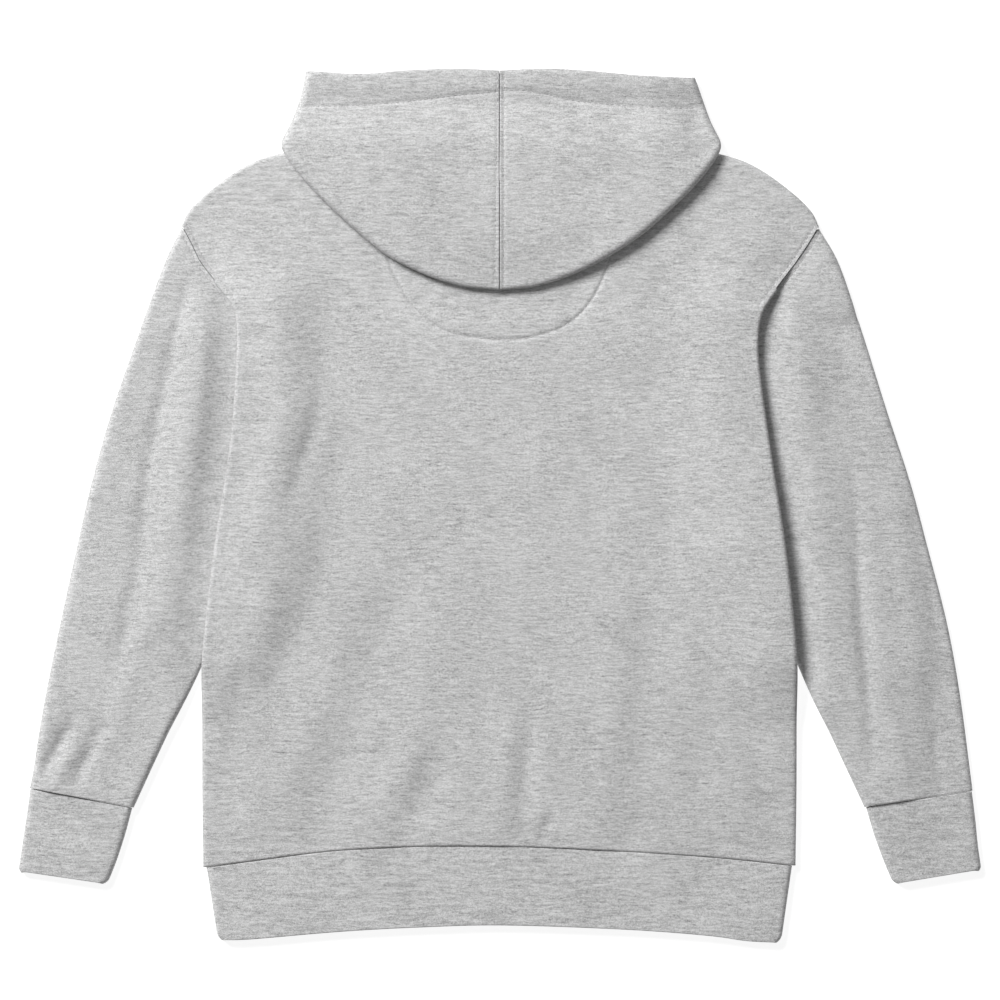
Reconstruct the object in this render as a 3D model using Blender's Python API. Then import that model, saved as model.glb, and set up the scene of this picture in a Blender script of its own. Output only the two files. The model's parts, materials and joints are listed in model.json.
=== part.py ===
"""Toddler pullover hoodie, laid flat on its front with the hood down.

Metres, +Z up. The garment's length runs along Y with the hood at +Y and its width along X, and it
rests on z = 0. The tables and sizes below are in millimetres, from the middle of the garment.
"""

import math
from collections import namedtuple

import bmesh
import bpy

MM = 0.001
CLOTH = 2.4  # fleece wall
BAND_CLOTH = 2.8  # doubled band wall
SEAM_GAP = 0.3
ARMHOLE_GAP = 0.6  # across; square to the seam it is about half of that
LAYER_GAP = 0.5  # between cloth layers that touch
HOOD_GAP = 0.6  # between the hood and the back
BODY_LOFT = 2.2  # air between front and back
SLEEVE_LOFT = 3.2  # air inside a sleeve
BAND_LOFT = 1.2
HOOD_LOFT = 3.2
LEAST_LOFT, MOST_LOFT = 0.6, 3.7
EDGE_LOFT = 1.9  # at the body's side folds over the sleeves
EDGE_ROLL = 2.6  # radius of the side and shoulder folds
FLOOR_MID = CLOTH / 2
OFF_CENTRE_X, OFF_CENTRE_Y = 0.25, 0.41  # middle of the laid garment, put on the origin
UNDER_SLEEVE = 2 * CLOTH + 2.4 * LAYER_GAP  # how far the body is lifted over a sleeve

EdgeRow = namedtuple("EdgeRow", "x y rolled lift")  # rolled 0 seam, 1 fold; lift 1 over the sleeve
Point = namedtuple("Point", "x y")
SleeveRow = namedtuple("SleeveRow", "outer_x outer_y inner_x inner_y at_seam")
Fold = namedtuple("Fold", "x1 y1 x2 y2 width height")

BODY_LEFT = [
    EdgeRow(-183.5, 162.5, 0, 0),
    EdgeRow(-178.5, 153.0, 0, 0),
    EdgeRow(-173.0, 142.0, 0, 0),
    EdgeRow(-165.0, 131.5, 0, 0.5),
    EdgeRow(-155.5, 119.0, 0.3, 1),
    EdgeRow(-151.5, 106.0, 1, 1),
    EdgeRow(-152.0, 79.5, 1, 1),
    EdgeRow(-155.5, 35.5, 1, 1),
    EdgeRow(-164.0, -19.0, 1, 1),
    EdgeRow(-168.5, -54.0, 1, 1),
    EdgeRow(-172.0, -89.5, 1, 1),
    EdgeRow(-172.0, -126.0, 1, 0.1),
    EdgeRow(-172.0, -166.0, 1, 0),
    EdgeRow(-171.5, -209.0, 1, 0),
]
BODY_RIGHT = [
    EdgeRow(184.5, 162.0, 0, 0),
    EdgeRow(178.5, 152.0, 0, 0),
    EdgeRow(170.0, 139.5, 0, 0),
    EdgeRow(160.5, 127.0, 0, 0.5),
    EdgeRow(152.0, 114.0, 0.3, 1),
    EdgeRow(149.5, 100.0, 1, 1),
    EdgeRow(150.0, 79.5, 1, 1),
    EdgeRow(156.5, 33.0, 1, 1),
    EdgeRow(164.5, -18.0, 1, 1),
    EdgeRow(169.0, -54.0, 1, 1),
    EdgeRow(172.0, -89.5, 1, 1),
    EdgeRow(172.0, -126.0, 1, 0.1),
    EdgeRow(172.0, -166.0, 1, 0),
    EdgeRow(171.5, -208.0, 1, 0),
]
SHOULDER = [  # from the sleeve's shoulder point to the side of the neck; the right one is its mirror
    Point(-184.0, 162.5),
    Point(-179.5, 171.5),
    Point(-169.5, 181.5),
    Point(-152.0, 194.5),
    Point(-136.0, 202.0),
    Point(-115.0, 206.5),
    Point(-90.0, 208.5),
    Point(-66.0, 209.0),
]
BACK_NECK_DROP = 19.0
FRONT_NECK_DROP = 40.0
ARMHOLE_SHARE = 0.16  # share of the body's length beside the armholes, where the rows are closer
NECK_FADE = 0.6  # share of the body's length over which the front's deeper neckline fades
WAIST_SEAM = [
    Point(-171.5, -209.0),
    Point(-138.0, -204.5),
    Point(-97.5, -199.5),
    Point(-52.5, -197.0),
    Point(-8.0, -196.5),
    Point(39.5, -198.0),
    Point(86.5, -200.5),
    Point(134.5, -204.0),
    Point(171.5, -208.0),
]
BAND_TOP_INSET = 2.0
BAND_EDGE = [
    Point(-162.5, -251.0),
    Point(-145.5, -250.5),
    Point(-91.0, -246.0),
    Point(-43.0, -243.5),
    Point(4.0, -242.5),
    Point(75.0, -245.0),
    Point(122.5, -248.5),
    Point(145.0, -251.5),
    Point(162.5, -252.5),
]
SLEEVE_LEFT = [
    SleeveRow(-183.5, 162.5, -146.0, 107.0, 1),
    SleeveRow(-194.5, 140.0, -146.5, 86.0, 0.4),
    SleeveRow(-210.0, 98.0, -143.0, 58.0, 0),
    SleeveRow(-224.5, 56.5, -140.0, 25.0, 0),
    SleeveRow(-236.5, 14.5, -142.5, -7.5, 0),
    SleeveRow(-246.0, -27.5, -152.5, -42.5, 0),
    SleeveRow(-255.0, -69.0, -172.0, -90.5, 0),
    SleeveRow(-263.5, -111.0, -192.5, -132.0, 0),
    SleeveRow(-272.5, -163.0, -212.0, -174.0, 0),
]
SLEEVE_RIGHT = [
    SleeveRow(184.5, 162.0, 144.0, 105.0, 1),
    SleeveRow(197.0, 140.0, 144.5, 85.0, 0.4),
    SleeveRow(211.5, 98.0, 141.5, 57.0, 0),
    SleeveRow(224.5, 56.5, 140.0, 24.5, 0),
    SleeveRow(238.0, 14.5, 143.0, -7.5, 0),
    SleeveRow(249.5, -27.5, 153.0, -42.5, 0),
    SleeveRow(260.0, -69.0, 172.0, -89.5, 0),
    SleeveRow(267.5, -111.0, 191.5, -131.0, 0),
    SleeveRow(274.5, -164.5, 211.5, -173.5, 0),
]
CUFF_LEFT = [
    SleeveRow(-272.0, -163.5, -213.0, -174.5, 0),
    SleeveRow(-274.5, -181.0, -217.5, -191.0, 0),
    SleeveRow(-277.0, -197.0, -222.5, -206.0, 0),
    SleeveRow(-279.0, -211.0, -227.5, -218.5, 0),
]
CUFF_RIGHT = [
    SleeveRow(274.0, -165.0, 212.5, -174.0, 0),
    SleeveRow(276.0, -181.0, 217.5, -190.5, 0),
    SleeveRow(277.5, -196.0, 223.0, -205.5, 0),
    SleeveRow(279.5, -210.0, 228.5, -218.5, 0),
]
HOOD_EDGE_LEFT = [  # face opening, from the middle to the corner
    Point(-0.5, 252.5),
    Point(-23.0, 253.5),
    Point(-57.5, 252.5),
    Point(-86.5, 250.5),
    Point(-112.0, 252.0),
]
HOOD_EDGE_RIGHT = [
    Point(0.5, 252.5),
    Point(23.5, 253.5),
    Point(58.5, 252.0),
    Point(87.5, 249.5),
    Point(113.5, 248.5),
]
HOOD_SIDE_LEFT = [
    Point(-112.0, 252.0),
    Point(-115.5, 237.0),
    Point(-120.5, 223.5),
    Point(-126.0, 211.5),
    Point(-125.0, 203.0),
]
HOOD_SIDE_RIGHT = [
    Point(113.5, 248.5),
    Point(118.0, 236.0),
    Point(122.5, 223.5),
    Point(128.0, 211.5),
    Point(127.5, 203.0),
]
HOOD_FOLD_LEFT = [
    Point(-125.0, 203.0),
    Point(-113.0, 189.0),
    Point(-99.0, 174.5),
    Point(-78.5, 156.0),
    Point(-62.0, 143.5),
    Point(-39.5, 133.0),
    Point(-20.0, 127.5),
    Point(-0.5, 125.5),
]
HOOD_FOLD_RIGHT = [
    Point(127.5, 203.0),
    Point(116.0, 189.0),
    Point(104.0, 176.5),
    Point(82.0, 157.0),
    Point(60.0, 143.0),
    Point(40.0, 133.5),
    Point(20.0, 127.5),
    Point(0.5, 125.5),
]
HOOD_FRONT_EDGE = [  # face opening under the garment, corner to centre front; mirrored for the right
    Point(-112.0, 252.0),
    Point(-90.0, 247.5),
    Point(-66.0, 239.0),
    Point(-36.0, 221.0),
    Point(-0.5, 175.0),
]
HOOD_NECK_HALF = 58.0  # the hood's neck edge lies inside the body's at the shoulders
HOOD_FRONT_DROP = 34.0
HOOD_FRONT_SAG = 8.0
BACK_FOLDS = [
    Fold(-107, 62, -125, 12, 12, -1.0),
    Fold(-125, 12, -152, -75, 15, -1.2),
    Fold(-66, -50, -90, -126, 14, -0.9),
    Fold(-90, -126, -107, -180, 12, -1.1),
    Fold(17, -120, 12, -188, 8, -1.0),
    Fold(-33, -137, -46, -172, 9, -0.6),
    Fold(85, -38, 75, -190, 16, -0.5),
    Fold(-90, 30, -118, -130, 14, 0.9),
    Fold(-10, -90, -30, -180, 16, 0.8),
    Fold(45, -110, 40, -185, 14, 0.7),
]
SLEEVE_FOLDS_LEFT = [
    Fold(-179, 126, -205, 12, 10, -1.6),
    Fold(-205, 12, -228, -104, 11, -1.5),
    Fold(-176, 120, -209, -60, 8, 0.5),
    Fold(-253, -133, -266, -160, 6, -0.9),
    Fold(-234, -133, -243, -160, 6, -0.7),
]
SLEEVE_FOLDS_RIGHT = [
    Fold(203, 4, 214, -129, 10, -1.2),
    Fold(171, 116, 193, -79, 9, 0.5),
    Fold(222, 80, 248, -60, 14, -0.7),
    Fold(247, -130, 262, -160, 6, -0.8),
]


def mirrored(points):
    return [Point(-point.x, point.y) for point in points]


def smooth(rows, t, name):
    """One column of a table along a Catmull-Rom curve; t runs from 0 to 1 over its rows."""
    place = min(max(t, 0.0), 1.0) * (len(rows) - 1)
    i = min(int(place), len(rows) - 2)
    f = place - i
    b, c = getattr(rows[i], name), getattr(rows[i + 1], name)
    a = getattr(rows[i - 1], name) if i > 0 else 2 * b - c
    d = getattr(rows[i + 2], name) if i + 2 < len(rows) else 2 * c - b
    return b + 0.5 * f * (c - a + f * (2 * a - 5 * b + 4 * c - d + f * (3 * (b - c) + d - a)))


def along(rows, t):
    return (smooth(rows, t, "x"), smooth(rows, t, "y"))


def at_height(rows, y, name):
    """A column of an edge table, read at a place along the garment's length."""
    if y >= rows[0].y:
        return getattr(rows[0], name)
    for above, below in zip(rows, rows[1:]):
        if y >= below.y:
            share = (above.y - y) / (above.y - below.y)
            return getattr(above, name) * (1 - share) + getattr(below, name) * share
    return getattr(rows[-1], name)


def edge_at(rows, y):
    """How far across an edge table's smooth curve lies, at a place along the length."""
    low, high = 0.0, 1.0
    for _ in range(24):
        middle = (low + high) / 2
        if smooth(rows, middle, "y") > y:
            low = middle
        else:
            high = middle
    return smooth(rows, low, "x")


def ease(value):
    value = min(max(value, 0.0), 1.0)
    return value * value * (3 - 2 * value)


def mix(a, b, share):
    return a + (b - a) * share


def fold_height(folds, x, y):
    """The soft ridges and troughs of a table, each a bell across and fading at its ends."""
    total = 0.0
    for fold in folds:
        run_x, run_y = fold.x2 - fold.x1, fold.y2 - fold.y1
        length = math.hypot(run_x, run_y)
        s = ((x - fold.x1) * run_x + (y - fold.y1) * run_y) / length
        off = ((x - fold.x1) * run_y - (y - fold.y1) * run_x) / length
        beyond = max(-s, s - length, 0.0)
        total += fold.height * math.exp(-((off / fold.width) ** 2) - (beyond / (2 * fold.width)) ** 2)
    return total


def coons(top, bottom, left, right, u, v):
    """A point of the patch between four edge curves; u runs from left to right, v from top to bottom."""
    def blended(axis):
        across = mix(top(u)[axis], bottom(u)[axis], v) + mix(left(v)[axis], right(v)[axis], u)
        upper = mix(top(0)[axis], top(1)[axis], u)
        lower = mix(bottom(0)[axis], bottom(1)[axis], u)
        return across - mix(upper, lower, v)
    return blended(0), blended(1)


# The body's heights, shared by the panels, the sleeves and the hood.


def inner_edge(y, side):
    """How far out the hidden inner edge of a sleeve lies at a place along the length."""
    rows = SLEEVE_LEFT if side < 0 else SLEEVE_RIGHT
    edge = [Point(abs(row.inner_x), row.inner_y) for row in rows]
    return at_height(edge, y, "x")


def over_sleeve(x, y, start, run):
    """The body's rise over a sleeve, which starts inside the sleeve's hidden edge and takes a run."""
    side = -1 if x < 0 else 1
    rows = BODY_LEFT if side < 0 else BODY_RIGHT
    rise = ease((abs(x) - inner_edge(y, side) + start) / run)
    return UNDER_SLEEVE * at_height(rows, y, "lift") * rise


def front_mid(x, y):
    return FLOOR_MID + over_sleeve(x, y, 24.0, 18.0)


def back_loft(x, y):
    side = -1 if x < 0 else 1
    rows = BODY_LEFT if side < 0 else BODY_RIGHT
    inset = abs(at_height(rows, y, "x")) - abs(x)
    edge = ease((inset - 4.0) / 26.0)
    lifted = at_height(rows, y, "lift")
    below_hood = 1 - ease((y - 95.0) / 30.0)
    loft = mix(mix(BODY_LOFT, EDGE_LOFT, lifted), BODY_LOFT + 0.6 * below_hood, edge)
    loft += fold_height(BACK_FOLDS, x, y) * below_hood * edge
    return min(max(loft, LEAST_LOFT), MOST_LOFT)


def back_mid(x, y):
    """The back rises further in than the front, and more gently."""
    return FLOOR_MID + over_sleeve(x, y, 54.0, 48.0) + CLOTH + back_loft(x, y)


# Meshes.


def sheet(name, points, faces, thickness, colour, parent):
    """An object whose cloth wall lies half to each side of the points, closed all round."""
    mesh = bpy.data.meshes.new(name)
    shape = bmesh.new()
    corners = [shape.verts.new([value * MM for value in point]) for point in points]
    for face in faces:
        shape.faces.new([corners[i] for i in face])
    bmesh.ops.recalc_face_normals(shape, faces=shape.faces)
    shape.to_mesh(mesh)
    shape.free()
    mesh.shade_smooth()
    obj = bpy.data.objects.new(name, mesh)
    bpy.context.scene.collection.objects.link(obj)
    obj.parent = parent
    wall = obj.modifiers.new("cloth_wall", "SOLIDIFY")
    wall.thickness = thickness * MM
    wall.offset = 0.0
    wall.use_rim = True
    material = bpy.data.materials.new(name)
    material.use_nodes = True
    finish = material.node_tree.nodes["Principled BSDF"]
    finish.inputs["Base Color"].default_value = (*colour, 1.0)
    finish.inputs["Roughness"].default_value = 0.9
    finish.inputs["Metallic"].default_value = 0.0
    mesh.materials.append(material)
    return obj


def grid_faces(rows, columns, start=0, closed=False):
    """The quads of a grid of points stored row by row."""
    faces = []
    for j in range(rows - 1):
        for i in range(columns if closed else columns - 1):
            k = (i + 1) % columns
            a, b = start + j * columns, start + (j + 1) * columns
            faces.append((a + i, a + k, b + k, b + i))
    return faces


HEATHER = (0.50, 0.50, 0.50)
ROLL_STEPS = (0.0, 30.0, 62.0, 90.0)  # degrees round a rolled edge


def roll(step):
    """Inset from a rolled outline, inset from a seamed one, and share of the height, at a step.

    On a rolled edge the first two steps stand one above the other, so that the two panels meet
    face to face. On a seamed edge, where nothing rises, they lie side by side."""
    turned = math.radians(max(step - ROLL_STEPS[1], 0.0) * 90.0 / (90.0 - ROLL_STEPS[1]))
    rolled = CLOTH / 2 + EDGE_ROLL * (1 - math.cos(turned))
    seamed = max(rolled, CLOTH / 2 + 0.3 * ROLL_STEPS.index(step))
    return rolled, seamed, math.sin(math.radians(step))


def panel(name, mid, seam_side, extra_drop, seam_reach, columns, armhole_rows, rows, parent):
    """The back or front: a patch between shoulders and neck, sides, and the waist seam.

    seam_reach is how near its edge comes to the armhole seam: the front leans there, and stays
    further off."""
    right_shoulder = mirrored(SHOULDER)
    shoulder_share = 0.32
    neck_half = abs(SHOULDER[-1].x)

    def top(u):
        if u < shoulder_share:
            return along(SHOULDER, u / shoulder_share)
        if u > 1 - shoulder_share:
            return along(right_shoulder, (1 - u) / shoulder_share)
        turn = math.pi * (u - shoulder_share) / (1 - 2 * shoulder_share)
        return (-neck_half * math.cos(turn), SHOULDER[-1].y - BACK_NECK_DROP * math.sin(turn))

    def neck_dip(u, v):
        """The deeper neckline of the front, fading out below the neck."""
        if not shoulder_share < u < 1 - shoulder_share:
            return 0.0
        turn = math.pi * (u - shoulder_share) / (1 - 2 * shoulder_share)
        return extra_drop * math.sin(turn) * max(1 - v / NECK_FADE, 0.0) ** 2

    def bottom(u):
        return along(WAIST_SEAM, u)

    def left(v):
        return along(BODY_LEFT, v)

    def right(v):
        return along(BODY_RIGHT, v)

    width, height = 345.0, 400.0
    steps = [roll(step) for step in ROLL_STEPS]
    across = [(a / width, b / width, share) for a, b, share in steps]
    middle = [0.028 + 0.944 * i / (columns - 1) for i in range(columns)]
    across += [(u, u, 1.0) for u in middle]
    across += [(1 - a / width, 1 - b / width, share) for a, b, share in reversed(steps)]
    down = [(a / height, b / height, share) for a, b, share in steps]
    last = 1.0 - SEAM_GAP / 2 / height
    middle = [mix(0.03, ARMHOLE_SHARE, i / armhole_rows) for i in range(armhole_rows)]
    middle += [mix(ARMHOLE_SHARE, last, i / (rows - 1)) for i in range(rows)]
    down += [(v, v, 1.0) for v in middle]

    points = []
    for rolled_v, seamed_v, row_share in down:
        for rolled_u, seamed_u, column_share in across:
            edge = BODY_LEFT if rolled_u < 0.5 else BODY_RIGHT
            rolled = smooth(edge, rolled_v, "rolled")
            rolled = min(max(rolled, 0.0), 1.0)
            u = mix(seamed_u, rolled_u, rolled)
            from_side = min(u, 1 - u)
            in_neck = ease((from_side - shoulder_share + 0.02) / 0.03)
            at_sleeve = 1 - ease(from_side / 0.04)
            unrolled = max(in_neck, at_sleeve)
            v = mix(rolled_v, seamed_v, unrolled)
            side_share = mix(1.0, column_share, rolled)
            top_share = mix(row_share, 1.0, unrolled)
            to_seam = seam_reach * (1 - rolled) * (1 - ease((from_side * width - 1.0) / 12.0))
            u += math.copysign(1, u - 0.5) * (CLOTH - SEAM_GAP) / 2 / width * to_seam
            x, y = coons(top, bottom, left, right, u, v)
            y -= neck_dip(u, v)
            low = front_mid(x, y)
            high = back_mid(x, y)
            seam = (low + high) / 2 + seam_side * SEAM_GAP / 2
            points.append((x, y, mix(seam, mid(x, y), side_share * top_share)))
    faces = grid_faces(len(down), len(across))
    return sheet(name, points, faces, CLOTH, HEATHER, parent)


def tube(name, sections, half_top, round_steps, thickness, colour, parent):
    """A flattened tube: a section is its outer and inner edge, its path in plan, and its two heights."""
    points = []
    for outer, inner, shape, low, high in sections:
        run = (inner[0] - outer[0], inner[1] - outer[1])
        length = math.hypot(*run)

        def place(share, outer=outer, run=run, shape=shape):
            return shape(share, outer[0] + run[0] * share, outer[1] + run[1] * share)

        ends = []
        for share in (0.0, 1.0):
            radius = (high(*place(share)) - low) / 2
            ends.append((thickness / 2 + radius) / length)
        shares = [mix(ends[0], 1 - ends[1], i / (half_top - 1)) for i in range(half_top)]
        ring = [(*place(share), high(*place(share))) for share in shares]
        inner_high = ring[-1][2]
        for step in range(1, round_steps):
            angle = math.pi * step / round_steps
            radius = (inner_high - low) / 2
            share = shares[-1] + radius * math.sin(angle) / length
            ring.append((*place(share), low + radius * (1 + math.cos(angle))))
        ring += [(*place(share), low) for share in reversed(shares)]
        outer_high = ring[0][2]
        for step in range(1, round_steps):
            angle = math.pi * step / round_steps
            radius = (outer_high - low) / 2
            share = shares[0] - radius * math.sin(angle) / length
            ring.append((*place(share), low + radius * (1 - math.cos(angle))))
        points += ring
    count = 2 * half_top + 2 * (round_steps - 1)
    faces = grid_faces(len(sections), count, closed=True)
    return sheet(name, points, faces, thickness, colour, parent)


def sleeve(name, rows, folds, body_edge, count, parent):
    side = -1 if rows[0].outer_x < 0 else 1

    def high(x, y):
        body_x = abs(at_height(body_edge, y, "x"))
        under_body = ease((body_x + 16.0 - abs(x)) / 12.0) * at_height(body_edge, min(y, 110.0), "rolled")
        armhole = ease((y - 100.0) / 16.0)
        loft = mix(SLEEVE_LOFT, BODY_LOFT, armhole) + fold_height(folds, x, y)
        loft = min(max(loft, LEAST_LOFT), MOST_LOFT)
        near_seam = at_height(body_edge, y, "lift") * ease((body_x + 16.0 - abs(x)) / 12.0)
        return FLOOR_MID + CLOTH + mix(loft, LEAST_LOFT, max(under_body, near_seam))

    sections = []
    for i in range(count):
        t = i / (count - 1)
        outer = (smooth(rows, t, "outer_x"), smooth(rows, t, "outer_y"))
        inner = (smooth(rows, t, "inner_x"), smooth(rows, t, "inner_y"))
        at_seam = min(max(smooth(rows, t, "at_seam"), 0.0), 1.0)

        def along_armhole(share, x, y, at_seam=at_seam):
            first_x = mix(rows[0].outer_x, rows[0].inner_x, share)
            first_y = mix(rows[0].outer_y, rows[0].inner_y, share)
            seam_x = edge_at(body_edge, first_y) + side * ARMHOLE_GAP
            return x + (seam_x - first_x) * at_seam * ease((first_y - 108.0) / 8.0), y

        sections.append((outer, inner, along_armhole, FLOOR_MID, high))
    return tube(name, sections, 11, 4, CLOTH, HEATHER, parent)


def cuff(name, rows, count, parent):
    low = BAND_CLOTH / 2

    def high(x, y):
        return low + BAND_CLOTH + BAND_LOFT

    def straight(share, x, y):
        return x, y

    sections = []
    for i in range(count):
        t = i / (count - 1)
        outer = (smooth(rows, t, "outer_x"), smooth(rows, t, "outer_y"))
        inner = (smooth(rows, t, "inner_x"), smooth(rows, t, "inner_y"))
        sections.append((outer, inner, straight, low, high))
    return tube(name, sections, 7, 4, BAND_CLOTH, HEATHER, parent)


def waistband(parent):
    low = BAND_CLOTH / 2
    high = low + BAND_CLOTH + BAND_LOFT
    radius = (high - low) / 2
    columns, round_steps, rows = 22, 4, 5
    points = []
    for j in range(rows):
        v = j / (rows - 1)

        def place(u, v=v):
            upper = along(WAIST_SEAM, u)
            lower = along(BAND_EDGE, u)
            pinch = 1 - BAND_TOP_INSET / abs(WAIST_SEAM[0].x)
            return mix(upper[0] * pinch, lower[0], v), mix(upper[1] - SEAM_GAP, lower[1], v)

        length = place(1.0)[0] - place(0.0)[0]
        inset = (BAND_CLOTH / 2 + radius) / length
        shares = [mix(inset, 1 - inset, i / (columns - 1)) for i in range(columns)]
        points += [(*place(u), high) for u in shares]
        for step in range(1, round_steps):
            angle = math.pi * step / round_steps
            u = shares[-1] + radius * math.sin(angle) / length
            points.append((*place(u), low + radius * (1 + math.cos(angle))))
        points += [(*place(u), low) for u in reversed(shares)]
        for step in range(1, round_steps):
            angle = math.pi * step / round_steps
            u = shares[0] - radius * math.sin(angle) / length
            points.append((*place(u), low + radius * (1 - math.cos(angle))))
    count = 2 * columns + 2 * (round_steps - 1)
    faces = grid_faces(rows, count, closed=True)
    return sheet("waistband", points, faces, BAND_CLOTH, HEATHER, parent)


def hood_half(name, side, face_edge, side_edge, fold_edge, columns, rows, under_rows, parent):
    """A hood half: the layer that shows, rolled round its outline into the layer beneath it."""
    front_edge = HOOD_FRONT_EDGE if side < 0 else mirrored(HOOD_FRONT_EDGE)
    neck_side = SHOULDER[-1]
    radius = (HOOD_LOFT + CLOTH) / 2
    inset = CLOTH / 2 + radius

    def shoulder_y(x):
        rows_up = sorted(SHOULDER, key=lambda point: -point.x)
        for near, far in zip(rows_up, rows_up[1:]):
            if -abs(x) >= far.x:
                share = min(max((near.x + abs(x)) / (near.x - far.x), 0.0), 1.0)
                return mix(near.y, far.y, share)
        return SHOULDER[0].y

    def under_mid(x, y, off_shoulder):
        """The lower layer: on the floor beyond the shoulders, and on the back panel below them."""
        resting = back_mid(x, min(y, 200.0)) + CLOTH + HOOD_GAP
        return mix(resting, FLOOR_MID, ease((off_shoulder - 7.0) / 6.0))

    def top_mid(x, y):
        resting = back_mid(x, min(y, 200.0)) + 2 * CLOTH + HOOD_GAP + HOOD_LOFT
        off_body = ease((y - 211.0) / 22.0)
        return mix(resting, FLOOR_MID + CLOTH + HOOD_LOFT, off_body)

    boundary = []  # the outline from the corner down the side and along the bottom fold
    for i in range(rows + 1):
        boundary.append(along(side_edge, i / rows))
    for i in range(1, columns + 1):
        boundary.append(along(fold_edge, i / columns))

    normals = []
    for i, here in enumerate(boundary):
        before, after = boundary[max(i - 1, 0)], boundary[min(i + 1, len(boundary) - 1)]
        run = (after[0] - before[0], after[1] - before[1])
        length = math.hypot(*run)
        normals.append((-side * -run[1] / length, -side * run[0] / length))
    normals[-1] = (0.0, 1.0)
    normals[0] = (-side * 1.0, 0.0)
    inner = [(p[0] + n[0] * inset, p[1] + n[1] * inset) for p, n in zip(boundary, normals)]

    def inner_at(start, count):
        picked = [Point(*point) for point in inner[start : start + count + 1]]
        return lambda t: along(picked, t)

    side_inner = inner_at(0, rows)
    fold_inner = inner_at(rows, columns)
    corner = Point(*inner[0])
    centre_low = Point(*inner[-1])
    centre_x = side * (SEAM_GAP / 2 + 0.05)
    lift = corner.y - face_edge[-1].y

    def face(u):
        x, y = along(face_edge, u)
        return mix(centre_x, corner.x, u), y + lift * u

    def centre(v):
        return centre_x, mix(face_edge[0].y, centre_low.y, v)

    def arc(u):
        x, y = fold_inner(1 - u)
        return (x if u > 0 else centre_x), y

    points, faces = [], []
    for j in range(rows + 1):
        for i in range(columns + 1):
            x, y = coons(face, arc, centre, side_inner, i / columns, j / rows)
            points.append((x, y, top_mid(x, y)))
    faces += grid_faces(rows + 1, columns + 1)

    def front_neck(v):
        x = mix(centre_x, side * HOOD_NECK_HALF, v)
        return x, neck_side.y - HOOD_FRONT_DROP * (1 - v) - HOOD_FRONT_SAG * 4 * v * (1 - v)

    def back_neck(v):
        turn = math.pi / 2 * v
        x = mix(centre_x, side * HOOD_NECK_HALF, math.cos(turn))
        return x, neck_side.y - BACK_NECK_DROP * math.sin(turn)

    def shoulder_line(u):
        begin, finish = inner[rows], back_neck(0.0)
        x = mix(begin[0], finish[0], u)
        return x, mix(mix(begin[1], finish[1], u), shoulder_y(x) + 1.0, 4 * u * (1 - u))

    def off_shoulder(k, u, x, y):
        """How far a point of the lower layer lies outside the shoulder line."""
        if k >= rows:
            return 0.0
        near = shoulder_line(u)
        return math.hypot(x - near[0], y - near[1])

    # The rolled fold, then the layer beneath.
    ring = [(columns + 1) * j + columns for j in range(rows + 1)]
    ring += [(columns + 1) * rows + i for i in range(columns - 1, -1, -1)]
    fold_steps = 4
    for step in range(1, fold_steps + 1):
        new_ring = []
        angle = math.pi * step / fold_steps
        for k, (point, normal) in enumerate(zip(inner, normals)):
            x, y = point
            if k == len(inner) - 1:
                x = centre_x
            upper, lower = top_mid(x, y), under_mid(x, y, off_shoulder(k, 0.0, x, y))
            out = radius * math.sin(angle)
            height = mix(lower, upper, (1 + math.cos(angle)) / 2)
            new_ring.append(len(points))
            points.append((x - normal[0] * out, y - normal[1] * out, height))
        for k in range(len(ring) - 1):
            faces.append((ring[k], ring[k + 1], new_ring[k + 1], new_ring[k]))
        ring = new_ring

    front_curve = [Point(*point) for point in front_edge]
    start = Point(*inner[0])
    end = Point(*front_neck(0.0))
    front_curve[0] = start
    front_curve[-1] = end

    def front_face(u):
        return along(front_curve, u)

    def centre_under(u):
        return centre_x, mix(inner[-1][1], back_neck(1.0)[1], u)

    def flap(u, v):
        """Between the face edge and the shoulder line, following the side fold and the front neck."""
        low, high = shoulder_line(u), front_face(u)
        side_at, neck_at = side_inner(v), front_neck(v)
        spot = []
        for axis in (0, 1):
            off_side = side_at[axis] - mix(side_inner(0)[axis], side_inner(1)[axis], v)
            off_neck = neck_at[axis] - mix(front_neck(0)[axis], front_neck(1)[axis], v)
            straight = mix(high[axis], low[axis], v)
            spot.append(straight + (1 - u) ** 2 * off_side + u**4 * off_neck)
        return spot

    previous = ring
    for step in range(1, under_rows + 1):
        u = step / under_rows
        new_ring = []
        for k in range(len(inner)):
            if k <= rows:
                x, y = flap(u, k / rows)
            else:
                v = (k - rows) / columns
                x, y = coons(shoulder_line, centre_under, fold_inner, back_neck, u, v)
            if k == len(inner) - 1:
                x = centre_x
            new_ring.append(len(points))
            points.append((x, y, under_mid(x, y, off_shoulder(k, u, x, y))))
        for k in range(len(previous) - 1):
            faces.append((previous[k], previous[k + 1], new_ring[k + 1], new_ring[k]))
        previous = new_ring
    return sheet(name, points, faces, CLOTH, HEATHER, parent)


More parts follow.
